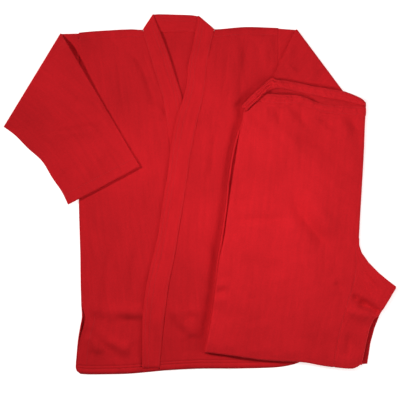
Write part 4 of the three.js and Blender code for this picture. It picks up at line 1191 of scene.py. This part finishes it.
        # From the fold to the cuff, with lines gathered near its row of stitches
        cuff = stitched((self.cuff_row,), 26, 4.0)
        marks = np.linspace(0, 1, 9)
        edge_lengths = [np.hypot(*np.diff(lines.edge(e, marks), axis=0).T).sum() for e in (0, 1)]
        lengths = lerp(*edge_lengths, q)
        count = int(lengths.mean() / 5.5)
        stations = [(k / count) * (1 - cuff[-1] / lengths) for k in range(count)]
        stations += [1 - d / lengths for d in cuff[::-1]]
        across = np.clip(q, 0, 1)
        arch = np.sin(math.pi * across)
        for t in stations:
            start = [inset[e] - fold[e] for e in (0, 1)]
            ends = [lines.edge(e, t) + start[e] * (1 - t[:, None]) for e in (0, 1)]
            spot = lerp(ends[0], ends[1], q[:, None])
            open_mouth = 1.4 * ease((t - 0.8) / 0.2) * arch * loose
            stand = loose * ease(t / 0.1) * (0.8 * (1 - across) ** 7 + 1.4 * ramp(t, 0.86, 1.0))
            puff = lines.puff * np.sin(math.pi * np.clip(t * 1.06, 0, 1)) * arch
            free = np.maximum(lifts(creases, spot[:, 0], spot[:, 1]), -0.4 - puff)
            free = free * ease(t / 0.1) * ramp(t, 1.04, 0.92) * ease(np.minimum(q, 1 - q) / 0.05)
            free = free + self.corner_height * loose * ease(t / 0.09) * bell(t, 0.30) * (1 - across) ** 5
            if not loose:
                past = outside_distance(spot[:, 0], spot[:, 1], self.lines.trousers)
                free = free * ramp(past, 2, 16)
            upper = np.where(h < middle, puff + free + open_mouth, 0)
            rings.append(np.c_[spot, 2 * fold_z - h + stand + upper])
        mid = np.array(rings)
        from_cuff = np.full(mid.shape[:2], FAR)
        for k, d in enumerate(cuff):
            from_cuff[-1 - k] = d
        groove = grooves(from_cuff, (self.cuff_row,), 0.4)
        thick = DRILL + HEM_PLY * (1 - ease((from_cuff - self.cuff_row) / 4)) * 0.6 - groove
        cloth = Cloth(mid, thick, ring=True)
        row = cloth.mid[-1 - cuff.index(self.cuff_row), :flat_count]
        self.rows.append(row + np.array([0, 0, DRILL / 2 + 0.15]))
        piece = self.dresser.dress(cloth.object(name + "_cloth"), Slot.JACKET, name)
        return piece


@dataclass
class Trousers:
    """The trousers, folded leg on leg and across, lying on the jacket's left side."""

    lines: Lines
    dresser: Dresser
    four_layers: float = 12.0
    eight_layers: float = 15.5
    pile_drop: float = 95.0  # how long the pile takes to come down past an edge under it
    gusset_row: float = 3.6
    casing_depth: float = 18.0
    casing_rows: tuple[float, float] = (2.7, 15.3)
    casing_lines: int = 21
    edges: int = 7  # layers whose folded edges show at the pile's side
    edge_seed: int = 53
    roll_steps: int = 6
    flat_step: float = 1.2
    rows: list[np.ndarray] = field(default_factory=list)

    def __post_init__(self) -> None:
        """Builds the curves."""
        self.left, self.left_under = (TROUSER_LEFT.curve("y", k) for k in ("upper", "under"))
        self.right = TROUSER_RIGHT.curve("y", "x")
        self.gusset_seam = GUSSET.curve("y", "seam")
        self.gusset_edge, self.gusset_under = (
            GUSSET.curve("y", k, straight=True) for k in ("upper", "under"))
        self.fold, self.fold_under = FOLD_ACROSS.curve("x", "upper"), FOLD_ACROSS.curve("x", "under")
        self.front_top, self.front_seam = FRONT_CASING.curve("x", "top"), FRONT_CASING.curve("x", "seam")
        self.back_outer = BACK_CASING.curve("outer_x", "outer_y", straight=True)
        self.back_inner = BACK_CASING.curve("inner_x", "inner_y", straight=True)

    def build(self) -> list[bpy.types.Object]:
        """Builds and dresses every piece.

        Returns:
            The pieces.
        """
        # The trouser pieces take the drill painted a touch lighter, as painted light on the pile's top
        pieces = [self.under_leg(), self.under_gusset(), self.layers(), self.upper_leg(), self.upper_gusset(),
                  self.front_band(), self.back_band()]
        stitches = Stitching().sew("trouser_stitches", self.rows, self.dresser.thread)
        pieces.append(self.dresser.dress(stitches, Slot.TROUSERS))
        return pieces

    def support(self, x: np.ndarray, y: np.ndarray, drop: float = 30.0) -> np.ndarray:
        """Height of what carries the trousers: the folded sleeve, the lapped front, the front, the surface.

        Args:
            x: Places across.
            y: Places along.
            drop: How long the cloth takes to come down past an edge.

        Returns:
            The height at each place.
        """
        carried = np.zeros(np.broadcast(x, y).shape)
        heights = ((self.lines.sleeve_left, 2 * (CLOTH + LAYER) + SEAM_GAP),
                   (self.lines.lapped, LAYER + BAND + 0.4 + CLOTH), (self.lines.jacket, LAYER + CLOTH))
        for outline, height in heights:
            past = (outside_distance(x, y, outline) - 22) / drop
            carried = np.maximum(carried, height * (1 - ease(past)))
        return carried + 0.4 * np.minimum(carried, 1)  # clear of creases in what carries it

    def pile_top(self, x: np.ndarray, y: np.ndarray) -> np.ndarray:
        """Height of the uppermost layer without its creases."""
        # Pressed thinner where the legs fold across
        thin = 6.2 * (1 - np.clip((y - self.fold(x)) / 26, 0, 1)) ** 2
        layers = lerp(self.four_layers, self.eight_layers, ramp(y, -30, -72))
        return self.support(x, y, self.pile_drop) + layers - thin

    def top(self, x: np.ndarray, y: np.ndarray) -> np.ndarray:
        """Height of the uppermost layer with its creases."""
        return self.pile_top(x, y) + lifts(UPPER_LEG_CREASES, x, y)

    def waist_seam(self, x: np.ndarray) -> np.ndarray:
        """Where the upper leg ends: along the slanted side of the back casing, then along the front's."""
        slanted = lerp(180.5, 202.5, ramp(x, 99, 132))
        return np.where(x < CASING_START, slanted, self.front_seam(x) + 0.8)

    def level_left(self, y: np.ndarray) -> np.ndarray:
        """Where the pile's top begins to turn down at its left edge."""
        return self.left(y) + ROLL

    def level_fold(self, x: np.ndarray) -> np.ndarray:
        """Where it begins to turn down at the fold across."""
        return self.fold(x) + ROLL

    def rolled(self, patch: Patch, left: bool, right: Callable) -> Cloth:
        """An upper layer whose edges roll down to the layers below.

        Args:
            patch: The level part's edges and grid.
            left: Whether its left edge rolls down.
            right: How much its right edge does at a height y, 0 to 1.

        Returns:
            The cloth, sunk into a seam and a row of stitches where its right edge is level.
        """
        x, y = patch.grid()
        n = self.roll_steps
        share = right(y[:, -1:])
        k = np.arange(1, n + 1)[None]
        level = 1 - share  # what stays level runs straight on to the seam
        right_turn = np.concatenate([np.zeros_like(x), share * k / n * math.pi / 2], axis=1)
        x = np.concatenate([x, x[:, -1:] + k * self.flat_step * level], axis=1)
        y = np.concatenate([y, np.repeat(y[:, -1:], n, axis=1)], axis=1)
        left_turn, down_turn = np.zeros_like(x), np.zeros_like(x)
        if left:
            turns = np.broadcast_to(np.linspace(math.pi / 2, 0, n + 1)[None, :-1], (len(x), n))
            left_turn = np.concatenate([turns, left_turn], axis=1)
            x, y, right_turn, down_turn = (np.concatenate([np.repeat(a[:, :1], n, axis=1), a], axis=1)
                                           for a in (x, y, right_turn, down_turn))
        turns = np.broadcast_to(np.linspace(math.pi / 2, 0, n + 1)[:-1, None], (n, x.shape[1]))
        down_turn = np.concatenate([turns, down_turn])
        x, y, left_turn, right_turn = (np.concatenate([np.repeat(a[:1], n, axis=0), a])
                                       for a in (x, y, left_turn, right_turn))
        from_seam = np.where(right(y) < 0.5, x[:, -1:] - x, FAR)
        groove = grooves(from_seam, (self.gusset_row,), 0.85)
        seam = 0.7 * bell(from_seam, 1.5)
        radius = ROLL - DRILL / 2
        rise = radius * np.cos(left_turn) * np.cos(right_turn) * np.cos(down_turn)
        z = self.top(x, y) - ROLL + rise - groove * 0.7 - seam
        z = np.maximum(z, self.support(x, y, self.pile_drop) + LAYER + 1.3)  # a crease stops on what is below
        x = x + radius * (np.sin(right_turn) - np.sin(left_turn))
        return Cloth(np.stack([x, y - radius * np.sin(down_turn), z], axis=2), DRILL - groove)

    def upper_leg(self) -> bpy.types.Object:
        """The upper leg, with rounded edges at the outer side, the centre and the fold across."""
        def share(y: np.ndarray) -> np.ndarray:
            """How much the right edge rolls down."""
            return ramp(y - GUSSET_TOP, 2, 18)

        def right(y: np.ndarray) -> np.ndarray:
            """The level part's right edge."""
            level = self.gusset_seam(y) + 0.5 - self.roll_steps * self.flat_step
            return lerp(level, self.right(y) - ROLL, share(y))

        patch = Patch(self.level_left, right, self.level_fold, self.waist_seam,
                      near_top=(0.0, 2.0, 5.0), near_right=(0.0, 2.0), step=4.5)
        cloth = self.rolled(patch, True, share)
        column = cloth.mid.shape[1] - 1 - int(round(self.gusset_row / self.flat_step))
        below = cloth.mid[:, column, 1] < GUSSET_TOP + 1
        self.rows.append(cloth.face()[self.roll_steps:, column][below[self.roll_steps:]])
        piece = self.dresser.dress(cloth.object("leg_left_cloth"), Slot.TROUSERS, "leg_left")
        return piece

    def upper_gusset(self) -> bpy.types.Object:
        """The upper gusset, from its seam to the crotch point and the inner leg."""
        patch = Patch(self.gusset_seam,
                      lambda y: np.maximum(self.gusset_edge(y) - ROLL, self.gusset_seam(y) + 1.0),
                      self.level_fold, lambda x: np.full(np.shape(x), GUSSET_TOP + 15), step=3.2)
        cloth = self.rolled(patch, False, lambda y: np.ones(np.shape(y)))
        piece = self.dresser.dress(cloth.object("gusset_left_cloth"), Slot.TROUSERS, "gusset_left")
        return piece

    def under(self, patch: Patch) -> Cloth:
        """A lowest layer, lying on what carries the trousers."""
        x, y = patch.grid()
        z = self.support(x, y) + CLOTH / 2 + lifts(UNDER_CREASES, x, y).clip(LOWEST, 0.2)
        ridge = 5.4 * ramp(y, -150, 20) * ramp(y, 150, 100) + 0.8 * ramp(y, -210, -150)
        z = z + bell(x - self.left_under(y) - 2.4, 2.3) * ridge
        return Cloth(np.stack([x, y, z], axis=2), DRILL)

    def under_leg(self) -> bpy.types.Object:
        """The other leg, which shows past the edges of the layers above."""
        def right(y: np.ndarray) -> np.ndarray:
            """Its right edge."""
            return np.where(y > GUSSET_TOP, self.right(y) - 2, self.gusset_seam(y) - SEAM_GAP)

        patch = Patch(self.left_under, right, self.fold_under, self.back_inner,
                      near_left=(0.0, 0.9, 1.8, 2.7, 3.7, 4.8, 6.0, 8.0),
                      near_bottom=(0.0, 1.5, 4.0), step=7.0)
        piece = self.dresser.dress(self.under(patch).object("leg_right_cloth"), Slot.TROUSERS, "leg_right")
        return piece

    def under_gusset(self) -> bpy.types.Object:
        """The other leg's gusset."""
        patch = Patch(self.gusset_seam, self.gusset_under, self.fold_under,
                      lambda x: np.full(np.shape(x), -128.0), near_right=(0.0, 1.5), step=5.0)
        cloth = self.under(patch)
        piece = self.dresser.dress(cloth.object("gusset_right_cloth"), Slot.TROUSERS, "gusset_right")
        return piece

    def casing_z(self, x: np.ndarray, y: np.ndarray) -> np.ndarray:
        """Under face of the back casing, lower behind the open front."""
        deep = 2.2 * ramp(x, 136, 166) - 3.4 * ramp(x, 215, 285) + 3.0 * bell(x - 140, 28)
        return self.pile_top(x, y) - CASING - deep

    def layers(self) -> bpy.types.Object:
        """The layers between the upper leg and the lowest one, rolled together, with an edge for each."""
        def right(y: np.ndarray) -> np.ndarray:
            """The right edge."""
            edge = np.where(y > GUSSET_TOP, self.right(y), self.gusset_edge(y))
            return edge - ROLL - 6.5 * ramp(y, -45, -75)

        patch = Patch(self.level_left, right, self.level_fold, lambda x: self.back_outer(x) - 3.5,
                      near_top=(0.0, 3.0, 6.0), step=5.5)
        x, y = patch.grid()
        behind = ramp(y - self.back_inner(x), -1.5, 1.0)
        # Between the casings the waist stands open, and closes towards its right end
        opened = 2.2 * ramp(y - self.waist_seam(x), 1, 11) * ramp(x, 136, 156)
        closing = ramp(x, 225, 280)
        mouth = 8.5 * ramp(y - self.front_top(x), -7, 3) * ramp(x, 140, 156) * (1 - closing)
        mouth = mouth - 5.4 * ramp(y - self.waist_seam(x), 4, 14) * closing
        top = lerp(self.top(x, y) - 2.7 - opened - mouth, self.casing_z(x, y) - LAYER, behind)
        bottom = self.support(x, y, self.pile_drop) + LAYER
        top = np.maximum(top, bottom + 0.5)
        flats = np.stack([x, y], axis=2) * MM
        mesh = Mesh()
        upper = mesh.add(np.stack([x, y, top], axis=2), flats)
        lower = mesh.add(np.stack([x, y, bottom], axis=2), flats)
        mesh.sheet(upper)
        mesh.sheet(lower, flip=True)
        self.pile_edges(mesh, (x, y, top, bottom), upper, lower)
        # The pile's edges take the drill painted a little darker, as painted shade
        piece = self.dresser.dress(mesh.object("trouser_layers"), Slot.HIDDEN, "leg_layers")
        return piece

    def pile_edges(self, mesh: Mesh, grid: Sequence[np.ndarray], upper: np.ndarray,
                   lower: np.ndarray) -> None:
        """Closes the pile's side with the round edge of each layer.

        Args:
            mesh: The mesh that has both faces.
            grid: The x, the y, the upper and the lower height of each grid point.
            upper: The numbers of the upper face's points.
            lower: The numbers of the lower face's.
        """
        j, i = np.array(rim_points(*upper.shape)).T
        px, py, high, low = (values[j, i] for values in grid)
        dx, dy = np.roll(px, -1) - np.roll(px, 1), np.roll(py, -1) - np.roll(py, 1)
        size = np.hypot(dx, dy)
        run = np.cumsum(np.hypot(px - np.roll(px, 1), py - np.roll(py, 1)))
        rings = [upper[j, i]]
        source = np.random.default_rng(self.edge_seed)
        for layer in range(self.edges):
            phase, reach = source.uniform(0, 2 * math.pi), 2.3 + 0.7 * math.sin(layer * 2.1)
            wander = 0.7 * np.sin(run / 31 + phase) + 0.5 * np.sin(run / 83 + 2 * phase)
            for turn in (-0.8, -0.35, 0.35, 0.8):
                share = (layer + 0.5 + turn / 1.75) / self.edges
                out = reach + wander + 1.1 * math.cos(turn * math.pi / 1.75)
                height = lerp(high, low, 0.03 + 0.94 * share)
                edge = np.stack([px + dy / size * out, py - dx / size * out, height], axis=1)
                rings.append(mesh.add(edge, np.stack([run, edge[:, 2]], axis=1) * MM))
        rings.append(lower[j, i])
        for a, b in zip(rings[:-1], rings[1:]):
            mesh.quads(a, b, np.roll(b, -1), np.roll(a, -1))

    def casing(self, low: np.ndarray, high: np.ndarray, under: Callable, seed: int, gathered: float = -99.0,
               knot: Sequence[tuple[float, ...]] = ()) -> Cloth:
        """An elastic casing, drawn into small uneven wrinkles.

        Args:
            low: Points along its lower edge.
            high: Points along its upper edge.
            under: Height of its under face.
            seed: The seed of its wrinkles.
            gathered: How far from its start it is drawn into folds along it.
            knot: Single wrinkles, each as its place, slant, reach, middle, span and height.

        Returns:
            The casing's cloth.
        """
        s = np.linspace(0.0, 1.0, self.casing_lines)[None]
        source = np.random.default_rng(seed)
        run = np.concatenate([[0], np.cumsum(np.hypot(*np.diff(low, axis=0).T))])[:, None]
        depth = s * self.casing_depth

        def wrinkle(at: float, slant: float, reach: float, middle: float, span: float) -> np.ndarray:
            """A slanted ridge over part of the casing's depth, 1 at its highest."""
            off = run - at - slant * (depth - self.casing_depth / 2)
            return np.exp(-((off / reach) ** 2) - ((depth - middle) / span) ** 2)

        beat = np.zeros((len(run), s.shape[1]))
        at = source.uniform(3, 9)
        while at < run[-1, 0]:
            slant, reach = source.uniform(-0.75, 0.75), source.uniform(1.6, 4.4)
            middle, span = source.uniform(3, 15), source.uniform(5, 13)
            beat = beat + source.uniform(0.25, 1.2) * wrinkle(at, slant, reach, middle, span)
            at += source.uniform(4, 15)
        for *shape, height in knot:
            beat = beat + height * wrinkle(*shape)
        # Two rolls along the elastic, and finer ones where the casing is drawn together
        long = np.sin(run / 24 + seed) * bell(depth - 6, 2.6) + bell(depth - 12.5, 2.4)
        drawn = np.sin(depth * 0.95 + 0.8 * np.sin(run / 13) + seed)
        drawn = drawn * (1 - ramp(run - gathered, -20, 10))
        waist = np.sin(math.pi * s)
        swell = np.sqrt(np.clip(waist, 0, 1))
        x = lerp(low[:, :1], high[:, :1], s)
        wander = 0.5 * np.sin(run / 7.3 + seed) * np.sin(run / 31) * s
        y = lerp(low[:, 1:], high[:, 1:], s) + wander
        thick = 0.9 + 1.7 * swell + 0.5 * beat * waist - grooves(depth, self.casing_rows, 0.5)
        lift = (1.1 * beat + 0.5 * long + drawn) * swell - 0.5 * bell(depth, 2.2)
        to_end = np.clip(1 - (run[-1] - run) / 6.5, 0, 1)
        lift = lift - ROLL * (1 - np.sqrt(1 - to_end**2))
        mid = np.stack([x, y, under(x, y) + CASING / 2 + lift], axis=2)
        return Cloth(mid, thick)

    def sew_casing(self, cloth: Cloth, start: int) -> None:
        """Adds a casing's rows of stitches, from a point of its run to near its end."""
        face = cloth.face(-1.0)
        columns = [round(row / self.casing_depth * (self.casing_lines - 1)) for row in self.casing_rows]
        self.rows += [face[start:-6, column] for column in columns]

    def front_band(self) -> bpy.types.Object:
        """The front casing, on the upper leg's edge."""
        x = np.linspace(CASING_START, 363.5, 150)
        low, high = (np.stack([x, edge(x)], axis=1) for edge in (self.front_seam, self.front_top))
        cloth = self.casing(low, high, lambda a, b: self.top(a, b) - CLOTH, 61)
        self.sew_casing(cloth, 8)
        piece = self.dresser.dress(cloth.object("waistband_front_cloth"), Slot.TROUSERS, "waistband_front")
        return piece

    def back_band(self) -> bpy.types.Object:
        """The back casing, behind the open front."""
        outer = BACK_CASING.points("outer_x", "outer_y")
        knots = range(len(outer))
        reach = np.concatenate([[0], np.cumsum([math.dist(a, b) for a, b in zip(outer, outer[1:])])])
        places = np.interp(np.linspace(0, reach[-1], 170), reach, list(knots))
        outer_x, outer_y, inner_x, inner_y = (
            Curve(knots, values)(places) for values in BACK_CASING.columns.values())
        low, high = np.stack([inner_x, inner_y + 1], axis=1), np.stack([outer_x, outer_y], axis=1)
        cloth = self.casing(low, high, self.casing_z, 67, 92.0, (
            (30, 0.6, 3.0, 11, 7, 1.1), (52, -0.7, 3.2, 6, 7, 1.2), (78, -0.9, 2.4, 8, 8, 1.9),
            (86, 0.7, 2.2, 13, 6, 2.0), (93, -0.4, 2.6, 5, 6, 1.7), (103, 0.9, 2.4, 11, 7, 1.5)))
        self.sew_casing(cloth, 4)
        piece = self.dresser.dress(cloth.object("waistband_back_cloth"), Slot.TROUSERS, "waistband_back")
        return piece


@dataclass(frozen=True)
class Softbox:
    """A square area light."""

    name: str
    place: tuple[float, float, float]
    target: tuple[float, float, float]
    size: float
    power: float

    def build(self) -> None:
        """Builds the light."""
        data = bpy.data.lights.new(self.name, "AREA")
        data.size, data.energy = self.size, self.power
        made = bpy.data.objects.new(self.name, data)
        made.location = self.place
        away = Vector(self.place) - Vector(self.target)
        made.rotation_euler = away.to_track_quat("Z", "Y").to_euler()
        bpy.context.scene.collection.objects.link(made)


@dataclass(frozen=True)
class Studio:
    """Pale floor, soft light and the camera straight above."""

    frame_mm: float = 880.0
    middle_mm: tuple[float, float] = (0.0, -12.8)
    height_m: float = 5.5
    sensor_mm: float = 36.0
    surround_strength: float = 0.07
    floor_colour: str = "E8E8E6"
    floor_glow: float = 0.68  # lifts the paper-white ground as the photograph has it
    softboxes: tuple[Softbox, ...] = (
        Softbox("left", (-1.9, 0.75, 1.5), (-1.05, 0.415, 1.907), 0.35, 74.0),
        Softbox("overhead", (0.06, 0.03, 0.56), (0.06, 0.03, 0.0), 0.4, 1.62),
        Softbox("right", (2.0, -0.5, 1.0), (0.0, 0.0, 0.0), 1.0, 18.0),
    )

    def build(self) -> None:
        """Builds the floor, the lights, the surroundings and the camera."""
        bpy.context.scene.view_settings.view_transform = "Standard"
        self.floor()
        for softbox in self.softboxes:
            softbox.build()
        world = bpy.data.worlds.new("studio")
        bpy.context.scene.world = world
        world.use_nodes = True
        surround = world.node_tree.nodes["Background"]
        surround.inputs["Color"].default_value = linear("FFFFFF")
        surround.inputs["Strength"].default_value = self.surround_strength
        data = bpy.data.cameras.new("camera")
        data.sensor_width = self.sensor_mm
        data.lens = self.sensor_mm * self.height_m / (self.frame_mm * MM)
        data.clip_end = 50.0
        camera = bpy.data.objects.new("camera", data)
        camera.location = (self.middle_mm[0] * MM, self.middle_mm[1] * MM, self.height_m)
        bpy.context.scene.collection.objects.link(camera)
        bpy.context.scene.camera = camera

    def floor(self) -> None:
        """Builds the floor, in smooth matt paint."""
        mesh = bpy.data.meshes.new("floor")
        reach, below = 4, -0.0006
        corners = [(x * reach, y * reach, below) for x, y in ((-1, -1), (1, -1), (1, 1), (-1, 1))]
        mesh.from_pydata(corners, [], [(0, 1, 2, 3)])
        # Rolled white emulsion paint: even, without gloss, and so bright that shadows on it stay pale
        paint = bpy.data.materials.new("matt_white_paint")
        paint.use_nodes = True
        shader = paint.node_tree.nodes["Principled BSDF"]
        shader.inputs["Base Color"].default_value = linear(self.floor_colour)
        shader.inputs["Roughness"].default_value = 0.9
        shader.inputs["Emission Color"].default_value = linear("FFFFFF")
        shader.inputs["Emission Strength"].default_value = self.floor_glow
        mesh.materials.append(paint)
        floor = bpy.data.objects.new("floor", mesh)
        bpy.context.scene.collection.objects.link(floor)


def main() -> None:
    """Builds the gi and its studio."""
    logging.basicConfig(level=logging.INFO, format="%(name)s: %(message)s")
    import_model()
    lines, dresser = Lines(), Dresser()
    for assembly in (Jacket(lines, dresser), Trousers(lines, dresser)):
        for piece in assembly.build():
            LOG.info("%s: %d faces", piece.name, len(piece.data.polygons))
    Studio().build()


if __name__ == "__main__":
    main()
